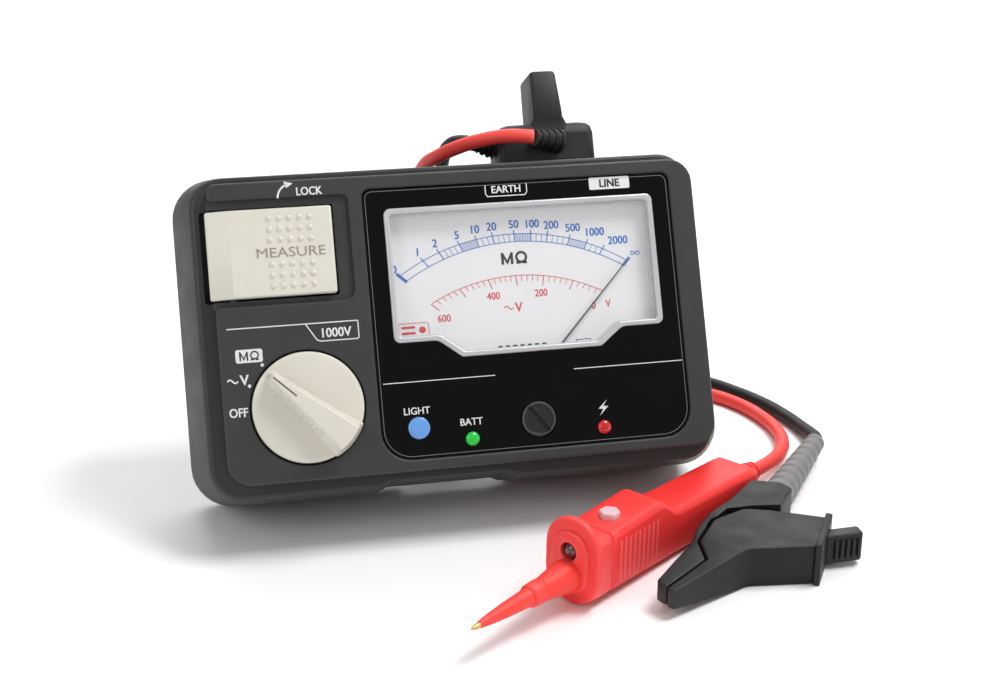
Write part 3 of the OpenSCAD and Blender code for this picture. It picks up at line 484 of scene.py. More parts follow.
BLACK_LOWER = [
    (20.3, 104, 2.8), (20.5, 94, 2.5), (23.5, 85, 2.2), (31, 78, 2.2), (43, 73.5, 2.2),
    (59.5, 71.5, 2.2), (76.5, 68.5, 2.2), (91.5, 63, 2.2), (103, 55, 2.2), (111, 43.5, 2.2),
    (116.8, 32, 2.2), (120.2, 20.5, 2.2), (121.6, 10.5, 2.6), (121.7, 3, 3.6), (120.8, -3, 4.8),
    (118.7, -7.3, 5.5),
]


def coil_points(centre, side):
    """Turns from the near point of the coil's top, out at its far side at the bottom. side is 1 or -1."""
    outer = COIL_RADIUS + CORD_D / 2
    inner = COIL_RADIUS - CORD_D / 2
    heights = [TIE_T + CORD_D * (row + 0.5) for row in range(COIL_ROWS)]
    strands = [(outer, 2), (inner, 2), (inner, 1), (outer, 1), (inner, 0), (outer, 0)]
    points = []
    for step in range(1, int(COIL_TURNS * STEPS_PER_TURN)):
        turn, part = divmod(step / STEPS_PER_TURN, 1)
        here = strands[int(turn)]
        there = strands[min(int(turn) + 1, len(strands) - 1)]
        shift = min(1, max(0, (part - CROSSING_FROM) / (1 - CROSSING_FROM)))
        shift = shift * shift * (3 - 2 * shift)
        radius = here[0] + (there[0] - here[0]) * shift
        height = heights[here[1]] + (heights[there[1]] - heights[here[1]]) * shift
        angle = math.radians(-90 - side * 360 * (turn + part))
        points.append((centre.x + radius * math.cos(angle), centre.y + radius * math.sin(angle), height))
    return points


def cord(name, points, material, stands_for):
    curve = bpy.data.curves.new(name, "CURVE")
    curve.dimensions = "3D"
    curve.bevel_depth = CORD_D / 2 * MM
    curve.bevel_resolution = 5
    curve.resolution_u = 5
    curve.use_fill_caps = True
    spline = curve.splines.new("BEZIER")
    spline.bezier_points.add(len(points) - 1)
    for knot, point in zip(spline.bezier_points, points):
        knot.co = TABLE @ Vector(point)
        knot.handle_left_type = "AUTO"
        knot.handle_right_type = "AUTO"
    curve.materials.append(material)
    obj = linked(name, curve)
    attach(obj, "tester")
    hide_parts(*stands_for)
    return obj


red_points = RED_UPPER + coil_points(RED_COIL, 1) + RED_LOWER
black_points = BLACK_UPPER + coil_points(BLACK_COIL, -1) + BLACK_LOWER
red_points = red_points[::-1]
black_points = black_points[::-1]
red_cord = cord(
    "red_lead", red_points, coral_soft, ["red_lead_upper", "red_lead_coil", "red_lead_lower"],
)
black_cord = cord(
    "black_lead", black_points, rubber_black,
    ["black_lead_upper", "black_lead_coil", "black_lead_lower"],
)

# ---- Case ----

CASE_W = 159
CASE_H = 96
WALL = 2
BACK_Z = -44
PART_Z = -17
RECESS_LIFT = 1.4
PANEL = (-25.5, -39.2, 66.9, 39.8)
PANEL_RADII = [8.5, 8.5, 2.5, 2.5]
KEY_PAN = (-69.4, 8.2, -29.6, 38.7)
KEY_HOLE = (-72, 9.9, -34, 36.3)
KNOB_AT = (-45.6, -21.7)
KNOB_D = 31.7
BUTTON_AT = (-14.5, -30.3)
ZERO_AT = (20.8, -30.6)
GREEN_AT = (0.8, -34.7)
RED_AT = (40.2, -34.7)
PLATEAU = (-69.4, -42.5, 74.1, 43.7)
STAND_HALF_W = 17.3
BAY = (-74, -33.8, -20, 26.8)
BAY_TAB = (-46, 30)
SCREWS = [(x * 69, y * 38) for x in (-1, 1) for y in (-1, 1)]
PLUG_HOLES = [34.8 - 9.5, 34.8 + 9.5]


def case_ring(inset_x, inset_y, radius, z):
    """Outline of the case at one depth, with the shallow step in the middle of its lower edge."""
    half_w = CASE_W / 2 - inset_x
    half_h = CASE_H / 2 - inset_y
    corners = [
        (-half_w, -half_h), (-26.5, -half_h), (-23.5, RECESS_LIFT - half_h), (11, RECESS_LIFT - half_h),
        (14, -half_h), (half_w, -half_h), (half_w, half_h), (-half_w, half_h),
    ]
    outline = rounded(corners, [radius, 1, 1, 1, 1, radius, radius, radius], 8)
    return [(x, y, z) for x, y in outline]


def offset_box(edges, margin):
    return (edges[0] - margin, edges[1] - margin, edges[2] + margin, edges[3] + margin)


def front_shell():
    outside = [
        (0.35, 0.35, 11.7, PART_Z + 0.02), (0, 0, 12, PART_Z + 0.45), (0.1, 0.05, 12, -16),
        (4.7, 1.65, 9.3, -5.6), (5.1, 1.8, 9.1, -4.7), (5.6, 2.1, 8.8, -4.2), (6.3, 2.7, 8.4, -4.02),
    ]
    inside = [(7.2, 3.6, 8, -4.02), (7.2, 3.6, 8, -6), (2, 2, 10, -15), (2, 2, 10, PART_Z + 0.02)]
    return loft([case_ring(*ring) for ring in outside + inside], loop=True)


def plateau():
    left, bottom, right, top = PLATEAU
    _, pan_bottom, pan_right, pan_top = KEY_PAN
    outline = rounded(
        [(left, bottom), (right, bottom), (right, top), (left, top), (left, pan_top),
         (pan_right, pan_top), (pan_right, pan_bottom), (left, pan_bottom)],
        [7, 7, 7, 7, 1.2, 1.8, 3.2, 1.2],
    )
    holes = [box(*PANEL, PANEL_RADII), circle(*KNOB_AT, KNOB_D + 1.2, 64)]
    return plate([outline, *holes], -4.6, 0.6, bevel=0.7, steps=4)


def ledge_floor():
    outline = box(-73.5, -44.6, 74.4, 44.6, 7.5)
    holes = [box(*offset_box(PANEL, -2.2), PANEL_RADII), box(*KEY_HOLE, 0.8), circle(*KNOB_AT, KNOB_D - 2)]
    return plate([outline, *holes], -6, -4.03, bevel=0.1, steps=1)


def key_pan():
    left, bottom, right, top = offset_box(KEY_PAN, 0.5)
    _, hole_bottom, hole_right, hole_top = KEY_HOLE
    outline = rounded(
        [(left, bottom), (right, bottom), (right, top), (left, top), (left, hole_top),
         (hole_right, hole_top), (hole_right, hole_bottom), (left, hole_bottom)], 0.5,
    )
    return plate([outline], -4.1, -0.9, bevel=0.25)


def key_cup():
    outer = offset_box(KEY_HOLE, 1.4)
    walls = plate([box(*outer, 1), box(*KEY_HOLE, 0.8)], -8, -4.1, bevel=0.05, steps=1)
    foot_hole = box(-47, 18.5, -35, 27.5, 0.5)
    floor = plate([box(*outer, 1), foot_hole], -9.6, -8, bevel=0.05, steps=1)
    return merged([walls, floor])


def knob_cup():
    ring = plate([circle(*KNOB_AT, KNOB_D + 4), circle(*KNOB_AT, 7.4, 32)], -4.6, -3, bevel=0.1, steps=1)
    return ring


def rear_shell():
    rings = [
        (0.35, 0.35, 11.7, PART_Z - 0.02), (0, 0, 12, PART_Z - 0.45), (0, 0, 12, -40.6),
        (0.3, 0.3, 11.8, -42.1), (1, 1, 11.2, -43.3), (2.1, 2.1, 10.4, -43.9), (3.4, 3.4, 9.4, BACK_Z),
    ]
    solid = loft([case_ring(*ring) for ring in rings])
    half_w = CASE_W / 2 - WALL
    half_h = CASE_H / 2 - WALL
    cavity = plate([box(-half_w, RECESS_LIFT - half_h, half_w, half_h, 10)], -36, -10, bevel=0.2)
    stand_low = 14 - STAND_LENGTH - 2
    cutters = [cavity, plate([box(-STAND_HALF_W, stand_low, STAND_HALF_W, 17.2, 1.5)], -46, -39.2, bevel=0.2)]
    cutters.append(plate([box(*offset_box(BAY, 0.25), 0.8)], -46, -42, bevel=0.05))
    cutters.append(plate([box(-52.2, 26, -39.8, 34.3, 0.8)], -46, -42, bevel=0.05))
    for x, y in SCREWS:
        cutters.append(plate([circle(x, y, 6.4)], -46, -41, bevel=0.05))
    for x in PLUG_HOLES:
        hole = plate([circle(0, 0, 8)], 0, 6, bevel=0.05)
        cutters.append(moved(hole, x, 50, -25, 90, "X"))
    return carved(solid, cutters)


LEAN = math.degrees(math.acos(face_normal.dot(Vector((0, -1, 0)))))
STAND_OPEN = -joint("stand_fold")["range_deg"][0]
STAND_PIN = Vector((0, 14, -41.8))
STAND_T = 2.4


def stand_length():
    pin_height = (CASE @ STAND_PIN).z / MM
    swing = math.radians(STAND_OPEN - LEAN)
    return (pin_height - STAND_T / 2 * math.sin(swing)) / math.cos(swing)


STAND_LENGTH = stand_length()

piece("case_front_shell", front_shell(), charcoal, ["front_case"])
piece("case_plateau", plateau(), charcoal_lit_face)
piece("case_ledge", ledge_floor(), charcoal_lit_face)
piece("case_key_pan", key_pan(), charcoal_lit_face)
# The cups carry the painted shade of the recesses.
piece("case_key_cup", key_cup(), painted_well_shade)
piece("case_knob_cup", knob_cup(), painted_well_shade)
piece("case_rear_shell", rear_shell(), charcoal, ["rear_case"])

# ---- Panel, window and dial ----

WINDOW_X = 20.8
SCALE_Z = -4.0
FRAME_T = 1.6


def window_outline(inset, radius):
    corners = [
        (WINDOW_X - 40.4 + inset, 33.7 - inset), (WINDOW_X - 40.4 + inset, -5.5 + inset),
        (WINDOW_X - 27.6 + inset / 2, -5.5 + inset), (WINDOW_X - 20.8 + inset / 2, -10.8 + inset),
        (WINDOW_X + 20.8 - inset / 2, -10.8 + inset), (WINDOW_X + 27.6 - inset / 2, -5.5 + inset),
        (WINDOW_X + 40.4 - inset, -5.5 + inset), (WINDOW_X + 40.4 - inset, 33.7 - inset),
    ]
    return rounded(corners, [radius, radius, radius * 2, radius, radius, radius * 2, radius, radius], 5)


def front_panel():
    holes = [window_outline(0.2, 1.8), circle(*BUTTON_AT, 6.9), circle(*ZERO_AT, 10.9)]
    holes += [circle(*GREEN_AT, 4.3), circle(*RED_AT, 4.3)]
    return plate([box(*offset_box(PANEL, -0.12), PANEL_RADII, 8), *holes], -2, 0, bevel=0.22)


piece("panel_face", front_panel(), piano_black, ["front_panel"])
bead = plate([window_outline(0, 2), window_outline(FRAME_T, 1.2)], -2, 0.5, bevel=0.55, steps=4)
piece("window_bead", bead, silver, ["window_frame"])
skirt_edges = [window_outline(FRAME_T - 0.5, 1.6), window_outline(FRAME_T + 0.35, 1)]
skirt = plate(skirt_edges, SCALE_Z, -1.7, bevel=0.1)
piece("window_skirt", skirt, bezel_grey)
dial = plate([box(WINDOW_X - 42.5, -14, WINDOW_X + 42.5, 36, 1)], SCALE_Z - 0.6, SCALE_Z, bevel=0.1)
piece("dial_plate", dial, scale_white, ["scale_plate"])

OHM_MARKS = [
    (-47.7, 0), (-38.1, 0), (-31.7, 0), (-23.7, 3), (-17, 9), (-10.6, 2), (-2.1, 3), (4.6, 9), (11.2, 2),
    (20, 3), (27, 9), (33.6, 2), (43.8, 0),
]
OHM_LABELS = [
    ("0", -17.3, 16.4), ("1", -10, 21), ("2", -4.7, 23.3), ("5", 2, 25.3), ("10", 7.4, 26.7),
    ("20", 12.6, 27.2), ("50", 19.3, 27.5), ("100", 24.8, 27.3), ("200", 30.7, 26.6), ("500", 37.2, 25.4),
    ("1000", 43.7, 23.7), ("2000", 50.7, 20.8),
]
OHM_ARCS = [((18.7, -38.3), 62.9), ((19.2, -39.6), 61.9)]
VOLT_ARC = ((19.0, -42.6), 54.8)
VOLT_MARKS = [(600, -48.8), (500, -34.2), (400, -19), (300, -4), (200, 11.5), (100, 27.8), (0, 43.8)]
VOLT_LABELS = [("600", -3.8, 1.1), ("400", 11.4, 6.6), ("200", 25.8, 6.6), ("0", 41.4, 1.7), ("V", 45.9, 2)]


def on_ray(angle, distance):
    """Point at a distance from the needle's pivot, at an angle from straight up, positive to the right."""
    turn = math.radians(angle)
    return (NEEDLE_PIVOT.x + distance * math.sin(turn), NEEDLE_PIVOT.y + distance * math.cos(turn))


def ray_reach(angle, centre, radius):
    """How far from the pivot a ray meets an arc."""
    turn = math.radians(angle)
    way = Vector((math.sin(turn), math.cos(turn)))
    offset = Vector((NEEDLE_PIVOT.x, NEEDLE_PIVOT.y)) - Vector(centre)
    along = offset.dot(way)
    return -along + math.sqrt(along * along - offset.length_squared + radius * radius)


def scale_arc(centre, radius, start, end, width):
    angles = [start + (end - start) * i / 60 for i in range(61)]
    return stroke([on_ray(a, ray_reach(a, centre, radius)) for a in angles], width, SCALE_Z)


def scale_tick(angle, inner, outer, width):
    return stroke([on_ray(angle, inner), on_ray(angle, outer)], width, SCALE_Z)


def ohm_scale():
    first = OHM_MARKS[0][0]
    last = OHM_MARKS[-1][0]
    marks = [scale_arc(*ring, first, last, 0.22) for ring in OHM_ARCS]
    before = first
    for angle, between in OHM_MARKS:
        outer = ray_reach(angle, *OHM_ARCS[0])
        inner = ray_reach(angle, *OHM_ARCS[1])
        end_mark = angle in (first, last)
        marks.append(scale_tick(angle, inner - 0.3 * end_mark, outer + 1.2, 0.9 if end_mark else 0.3))
        for k in range(between):
            small = before + (angle - before) * (k + 1) / (between + 1)
            ends = [ray_reach(small, *ring) for ring in OHM_ARCS[::-1]]
            marks.append(scale_tick(small, *ends, 0.16))
        before = angle
    for words, x, y in OHM_LABELS:
        marks.append(lettering(words, x, y, 2.45, SCALE_Z, bold=0.03, wide=0.9))
    return marks


def infinity_sign(x, y, width, line):
    points = []
    for k in range(32):
        t = 2 * math.pi * k / 32
        points.append((x + width / 2 * math.cos(t), y + width * 0.42 * math.sin(t) * math.cos(t)))
    return stroke(points, line, SCALE_Z, loop=True)


def volt_scale():
    marks = [scale_arc(*VOLT_ARC, VOLT_MARKS[0][1], VOLT_MARKS[-1][1], 0.2)]
    for (_, angle), (_, following) in zip(VOLT_MARKS, VOLT_MARKS[1:]):
        for k in range(5):
            here = angle + (following - angle) * k / 5
            outer = ray_reach(here, *VOLT_ARC)
            marks.append(scale_tick(here, outer - (1.7 if k else 3), outer, 0.18 if k else 0.26))
    end = VOLT_MARKS[-1][1]
    marks.append(scale_tick(end, ray_reach(end, *VOLT_ARC) - 3, ray_reach(end, *VOLT_ARC), 0.26))
    for words, x, y in VOLT_LABELS:
        marks.append(lettering(words, x, y, 2.2, SCALE_Z, wide=0.86))
    marks.append(lettering("V", 18.7, 2.8, 2.9, SCALE_Z, wide=0.9))
    marks.append(tilde(15.7, 2.8, 2.8, 0.3, SCALE_Z))
    return marks


def tilde(x, y, width, line, z):
    shares = [k / 16 for k in range(17)]
    wave = [(x + width * (t - 0.5), y + width * 0.17 * math.sin(2 * math.pi * t)) for t in shares]
    return stroke(wave, line, z)


def ohm_sign(x, y, height, line, z):
    """Omega: an open round and two feet."""
    radius = height * 0.42
    ring = arc((x, y + height * 0.06), radius, 300, -120, 20)
    left = (ring[-1][0], y - height / 2 + line / 2)
    right = (ring[0][0], y - height / 2 + line / 2)
    path = [(x + radius * 1.1, right[1]), right, *ring, left, (x - radius * 1.1, left[1])]
    return stroke(path, line, z)


def letter_m(x, y, height, line, z):
    half_w = height * 0.4
    top = y + height / 2 - line / 3
    low = y - height / 2
    posts = [stroke([(post, low), (post, y + height / 2)], line, z) for post in (x - half_w, x + half_w)]
    vee = stroke([(x - half_w, top), (x, low + height * 0.15), (x + half_w, top)], line * 0.85, z)
    return merged([*posts, vee])


def megohm(x, y, height, line, z):
    mega = letter_m(x - height * 0.6, y, height, line, z)
    return merged([mega, ohm_sign(x + height * 0.62, y, height, line * 0.9, z)])


blue_marks = ohm_scale() + [infinity_sign(55.6, 16.6, 2.6, 0.26)]
printed("dial_ohm_marks", blue_marks, print_blue)
red_box = stroke(box(-17.4, -3.9, -8.6, 0.3, 0.6, 3), 0.18, SCALE_Z, loop=True)
red_bars = [stroke([(-16.6, y), (-12.6, y)], 0.7, SCALE_Z) for y in (-0.9, -2.6)]
red_dot = block([circle(-10.5, -1.8, 2, 20)], SCALE_Z - PRINT_T, SCALE_Z + PRINT_T)
red_marks = volt_scale() + [red_box, *red_bars, red_dot]
printed("dial_volt_marks", red_marks, print_red)
black_marks = [
    megohm(18.6, 17.4, 3.5, 0.8, SCALE_Z),
    stroke([(35.2, -9.1), (35.2, -8.1), (39.5, -8.1), (39.5, -9.1)], 0.2, SCALE_Z),
    *[stroke([(11.5 + 2.2 * k, -8.6), (12.8 + 2.2 * k, -8.6)], 0.7, SCALE_Z) for k in range(7)],
]
printed("dial_black_marks", black_marks, print_black)


NEEDLE_LENGTH = 46
NEEDLE_REST = -43.6
NEEDLE_Z = (-3.2, -2.9)


def needle():
    """Thin blade from the hub to the end of the scale, with its counterweight."""
    outline = [(-0.35, 0), (0.35, 0), (0.17, NEEDLE_LENGTH), (-0.17, NEEDLE_LENGTH)]
    blade = plate([outline], *NEEDLE_Z, bevel=0.03, steps=1)
    hub = plate([circle(0, 0, 5)], -3.25, -2.8, bevel=0.1)
    tail = plate([box(-0.8, -4.5, 0.8, 0, 0.3)], *NEEDLE_Z, bevel=0.05)
    return moved(merged([blade, hub, tail]), NEEDLE_PIVOT.x, NEEDLE_PIVOT.y, 0, NEEDLE_REST)


piece("needle_blade", needle(), needle_grey, ["pointer"], body="meter_needle")

# ---- Printing on the case and the panel ----

FACE_Z = 0.6
PATCH_Z = FACE_Z + 0.04
KEY_TOP_Z = 1.2
DOT_ROWS = (13.4, 26.6)


def face_marks():
    marks = [
        stroke([(-66.8, 2), (-44.6, 2), (-41.6, -2.8), (-40.6, -3.2), (-30, -3.2), (-29.6, -2.8), (-29.6, 2)],
               0.32, FACE_Z),
        stroke([(-44.6, 2), (-29.6, 2)], 0.32, FACE_Z),
        lettering("1000V", -36.2, -0.9, 2.7, FACE_Z, bold=0.03, wide=0.92),
        lettering("OFF", -65.2, -21.7, 2.6, FACE_Z, bold=0.03, wide=0.84),
        lettering("V", -62.9, -12.6, 3, FACE_Z, bold=0.03, wide=0.95),
        tilde(-66.2, -12.8, 3, 0.42, FACE_Z),
        lettering("LOCK", -40.5, 40.2, 2.4, FACE_Z, bold=0.03, wide=0.84),
        block([box(-64.9, -7.8, -57.3, -4, 0.6)], FACE_Z - PRINT_T, PATCH_Z),
    ]
    for x, y in ((-57.6, -8.7), (-61.6, -14.4)):
        marks.append(block([circle(x, y, 0.95, 20)], FACE_Z - PRINT_T, PATCH_Z))
    return marks + lift_arrow()


def lift_arrow():
    shaft = stroke(arc((-45.3, 38.4), 4.2, 178, 112, 12), 0.55, FACE_Z)
    tip = block([[(-44.9, 42.6), (-47.6, 43.3), (-46.9, 41.3)]], FACE_Z - PRINT_T, FACE_Z + PRINT_T)
    return [shaft, tip]


def panel_marks():
    marks = [
        stroke([(-23.8, -16.9), (9, -16.9)], 0.24, 0),
        stroke([(32.6, -16.9), (65.8, -16.9)], 0.24, 0),
        stroke([(11, 38.9), (11, 36.4), (11.5, 35.5), (22.8, 35.5), (23.4, 36.4), (23.4, 38.9)], 0.28, 0),
        lettering("EARTH", 17.2, 37.5, 2.2, 0, bold=0.03, wide=0.95),
        block([box(42.4, 35.7, 54.8, 39.3, 0.5)], -0.05, 0.04),
        lettering("LIGHT", -14.8, -25.3, 2.1, 0, wide=0.95),
        lettering("BATT", 0.8, -29.7, 2.1, 0, wide=0.95),
    ]
    bolt = [(41.7, -26.6), (38.9, -29.2), (40.4, -29.3), (39.2, -31.2), (41.9, -28.6), (40.4, -28.5)]
    marks.append(block([bolt], -PRINT_T, PRINT_T))
    return marks


printed("face_print", face_marks(), print_white)
edge_line = stroke(box(*offset_box(PANEL, -0.9), [7.8, 7.8, 2, 2], 8), 0.14, 0, loop=True)
printed("panel_edge_line", [edge_line], steel)
printed("panel_print", panel_marks(), print_white)
dark_words = [
    megohm(-61.1, -5.9, 2.5, 0.42, PATCH_Z),
    lettering("LINE", 48.6, 37.5, 2.3, 0.04, bold=0.045, wide=0.98),
]
printed("dark_print", dark_words, print_dark)

# ---- Key, knob, buttons, lamps ----


KEY = (-70.5, 10.5, -34.6, 35.7)
KEY_UNDER_Z = -3.3
KEY_PIN = (-64, -5.3)
KEY_FACET = 15
KEY_DOT = [(0, 0.5), (0.4, 0.46), (0.68, 0.3), (0.83, 0.04), (0.85, -0.1), (0, -0.1)]


def measure_key():
    """Lid with a sloping facet left of its pin, rows of dots, a foot and two hinge barrels."""
    left, low, right, high = KEY
    hinge_x, hinge_z = KEY_PIN
    drop = (hinge_x - left) * math.tan(math.radians(KEY_FACET))
    profile = rounded(
        [(left, KEY_UNDER_Z), (right, KEY_UNDER_Z), (right, KEY_TOP_Z), (hinge_x, KEY_TOP_Z),
         (left, KEY_TOP_Z - drop)], [0.3, 0.3, 0.6, 0.6, 0.6], 4,
    )
    ends = ((low, 0.5), (low + 0.15, 0.2), (low + 0.5, 0), (high - 0.5, 0), (high - 0.15, 0.2), (high, 0.5))
    middle = Vector((left + right, KEY_TOP_Z + KEY_UNDER_Z)) / 2
    half = Vector((right - left, KEY_TOP_Z - KEY_UNDER_Z)) / 2
    rings = []
    for y, inset in ends:
        shrink = Vector(((half.x - inset) / half.x, (half.y - inset) / half.y))
        ring = []
        for x, z in profile:
            ring.append((middle.x + (x - middle.x) * shrink.x, y, middle.y + (z - middle.y) * shrink.y))
        rings.append(ring)
    parts = [loft(rings)]
    for row_start in DOT_ROWS:
        for i in range(5):
            for j in range(3):
                parts.append(moved(lathe(KEY_DOT, 20), -52.6 + 2.9 * i, row_start + 3.1 * j, KEY_TOP_Z))
    parts.append(plate([box(-44, 20, -38, 26, 0.5)], -9, -3, bevel=0.3))
    for y in (low + 0.4, high - 4.4):
        barrel = lathe([(1.05, 0), (2.2, 0), (2.2, 4), (1.05, 4)], 32)
        parts.append(moved(barrel, hinge_x, y + 4, hinge_z, 90, "X"))
    return merged(parts)


piece("key_cap", measure_key(), ivory, ["measure_key"], body="measure_key_body")
key_word = lettering("MEASURE", -47, 22.9, 2.9, KEY_TOP_Z, bold=0.005, wide=1.18)
key_print = ink("key_print", (150, 144, 126))
piece("key_print", key_word, key_print, body="measure_key_body", smooth=20)

KNOB_POINTS = 137
DISC_TOP = 1.5
BAR_TOP = 7.0


def knob_bar_ring(inset, z):
    """Outline of the knob's bar: a round tip in front, widening to the rim behind."""
    rim = KNOB_D / 2 - inset * 0.6
    back_half = 5.4 - inset
    back_angle = math.degrees(math.asin(back_half / rim))
    back = arc((0, 0), rim, 180 - back_angle, 180 + back_angle, 12)
    tip = arc((13, 0), max(0.5, 1.7 - inset * 0.8), -80, 80, 12)
    return [(x, y, z) for x, y in back + tip]


def selector_knob():
    rim = KNOB_D / 2
    disc = lathe([(3, -2.5), (rim, -2.5), (rim, 0.9), (rim - 0.15, 1.25), (rim - 0.6, 1.45),
                  (rim - 1.2, DISC_TOP), (0, DISC_TOP + 0.15)], 96)
    rings = [knob_bar_ring(*ring) for ring in (
        (-0.6, DISC_TOP - 0.3), (-0.2, DISC_TOP + 0.2), (0, DISC_TOP + 0.8), (1.0, BAR_TOP - 0.9),
        (1.2, BAR_TOP - 0.35), (1.5, BAR_TOP - 0.08), (1.9, BAR_TOP))]
    parts = [loft(rings)]
    for k in range(11):
        for side in (-1, 1):
            along = 9.5 - 1.7 * k
            half = 2.05 + (12.5 - along) * 0.1275
            foot = circle(along, side * half, 0.56, 10)
            head = circle(along, side * (half - 0.9), 0.56, 10)
            parts.append(loft([[(*p, DISC_TOP + 0.3) for p in foot], [(*p, DISC_TOP + 4.2) for p in head]]))
    bar = moved(merged(parts), 0, 0, 0, KNOB_POINTS)
    return moved(merged([disc, bar]), *KNOB_AT)


piece("knob_grip", selector_knob(), ivory, ["selector_knob"], body="selector", smooth=30)
# Dark strip along the bar's top: painted shade standing for the notch groove.
notch = plate([box(4.6, -0.22, 13.2, 0.22, 0.2)], BAR_TOP - 0.3, BAR_TOP + 0.02, bevel=0.01)
notch = moved(notch, turn=KNOB_POINTS)
knob_notch_shade = finish("knob_notch_shade", (92, 84, 66), rough=0.6, spread=0.03, edge_wear_and_highlight=0)
piece("knob_notch_shade", moved(notch, *KNOB_AT), knob_notch_shade, body="selector")


def dome(diameter, low, shoulder, top):
    radius = diameter / 2
    curve = [(radius * math.cos(a), shoulder + (top - shoulder) * math.sin(a)) for a in
             [math.radians(9 * k) for k in range(11)]]
    return lathe([(0, low), (radius, low), *curve], 40)


button = merged([dome(6.3, -3, 0.35, 0.9), lathe([(0, -3.6), (4.1, -3.6), (4.1, -2.4), (0, -2.4)], 40)])
piece(
    "light_button_cap", moved(button, *BUTTON_AT), sky_blue, ["light_button"],
    body="light_button_body",
)
piece(
    "battery_lamp", moved(dome(4.1, -7.8, 0.1, 1.15), *GREEN_AT), lamp_green,
    ["battery_led"],
)
piece("warning_lamp", moved(dome(4.1, -7.8, 0.1, 1.15), *RED_AT), lamp_red, ["warning_led"])


def zero_screw():
    body = lathe([(0, -10), (2, -10), (2, -3.6), (6.1, -3.6), (6.1, -2.5), (5.1, -2.5), (5.1, 0.2),
                  (4.9, 0.42), (4.3, 0.45), (4.1, 0.2), (0, 0.2)], 64)
    slot = moved(plate([box(-4.6, -0.6, 4.6, 0.6, 0.2)], -0.7, 1.5, bevel=0.05), turn=-52)
    return moved(carved(body, [slot]), *ZERO_AT)


piece("zero_screw", zero_screw(), satin_black, ["zero_adjust_screw"], body="zero_adjust")

# ---- Back: stand, battery cover ----


def tilt_stand():
    """Drawn folded along the back, then opened about its pin."""
    half_w = STAND_HALF_W - 0.3
    outline = box(-half_w, -STAND_LENGTH, half_w, 1.5, [3, 3, 1, 1])
    leg = plate([outline], -STAND_T / 2, STAND_T / 2, bevel=0.5)
    rails = [plate([box(x, 6 - STAND_LENGTH, x + 3, -4, 1)], -STAND_T / 2, STAND_T / 2 + 0.8, bevel=0.3)
             for x in (-half_w, half_w - 3)]
    barrel = moved(lathe([(1.3, 0), (2.2, 0), (2.2, 34), (1.3, 34)], 32), -half_w, 0, 0, 90, "Y")
    return moved(merged([leg, *rails, barrel]), 0, STAND_PIN.y, STAND_PIN.z, STAND_OPEN, "X")


piece("stand_leg", tilt_stand(), charcoal, ["tilt_stand"], body="stand")


def battery_cover():
    left, bottom, right, top = BAY
    outline = rounded(
        [(left, bottom), (right, bottom), (right, top), (-40, top), (-40, 34), (-52, 34), (-52, top),
         (left, top)], 0.8, 4,
    )
    grips = [box(-66 + 3 * i, -6, -64.6 + 3 * i, 8, 0.5, 3) for i in range(5)]
    lid = plate([outline, circle(*BAY_TAB, 6)], BACK_Z, BACK_Z + 2, bevel=0.3)
    ribs = [plate([grip], BACK_Z - 0.35, BACK_Z + 0.5, bevel=0.25) for grip in grips]
    return merged([lid, *ribs])


piece("battery_lid", battery_cover(), charcoal, ["battery_cover"])

# ---- Plug on the case's top edge: y runs up the face, out of the top edge ----


# Each row: left, right, back, front, corner radius, height
PLUG_BASE = [
    (20.2, 49.4, -33.6, -16.4, 1.5, 48), (19.8, 49.8, -34, -16, 2, 48.6), (19.8, 49.8, -34, -16, 2, 56.5),
    (20.3, 49.3, -33.6, -16.4, 2, 58.6), (21.2, 48.4, -32.8, -17.2, 2, 59.6), (22.4, 47, -32, -18, 2, 60),
]
PLUG_GRIP = [
    (30, 42, -34, -16, 1.6, 58), (30.5, 41.5, -34, -16, 1.4, 60), (31.4, 40.6, -34, -16, 1.2, 61.8),
    (31.5, 40.5, -33.9, -16.1, 1.2, 64), (31.5, 39.6, -33.1, -16.9, 1.2, 75.4),
    (31.9, 39.2, -32.7, -17.3, 1, 76.2), (32.7, 38.4, -31.9, -18.1, 0.8, 76.5),
]
PLUG_RIB = [(41.5, 50.1, -31, -19, 1, 49.5), (41.5, 50.1, -31, -19, 1, 54)]


def plug_part(sections):
    """Skin over rounded rectangles across the plug."""
    rings = []
    for left, right, back, front, radius, y in sections:
        rings.append([(x, y, z) for x, z in box(left, back, right, front, radius, 4)])
    return loft(rings)


def plug_body():
    return merged([plug_part(sections) for sections in (PLUG_BASE, PLUG_GRIP, PLUG_RIB)])


piece("plug_shell", plug_body(), rubber_black, ["plug_body"])


GROOVE_DEPTH = 0.55


def ribbed_relief(length, wide, narrow, ribs):
    """Tapered sleeve along z with rounded ribs."""
    profile = [(0, 0)]
    steps = ribs * 8
    for k in range(steps + 1):
        share = k / steps
        radius = (wide + (narrow - wide) * share) / 2
        groove = max(0, math.sin(2 * math.pi * ribs * share - math.pi / 2)) ** 0.5 * GROOVE_DEPTH
        profile.append((radius - groove, share * length))
    profile.append((0, length))
    return lathe(profile, 32)


def along(mesh, start, finish):
    """Turns a mesh made along z so that it runs between two points."""
    way = Vector(finish) - Vector(start)
    mesh.transform(Matrix.Translation(start) @ way.to_track_quat("Z", "Y").to_matrix().to_4x4())
    return mesh


def relief_between(start, finish, wide, narrow, ribs):
    length = (Vector(finish) - Vector(start)).length
    return along(ribbed_relief(length, wide, narrow, ribs), start, finish)


plug_reliefs = merged([
    relief_between((38, 54, -16), (29.5, 54.5, -11), 8, 5.2, 4),
    relief_between((19.8, 55, -25), (14.5, 56, -25), 8, 5.2, 3),
])
piece("plug_sleeves", plug_reliefs, rubber_black, ["plug_strain_reliefs"])


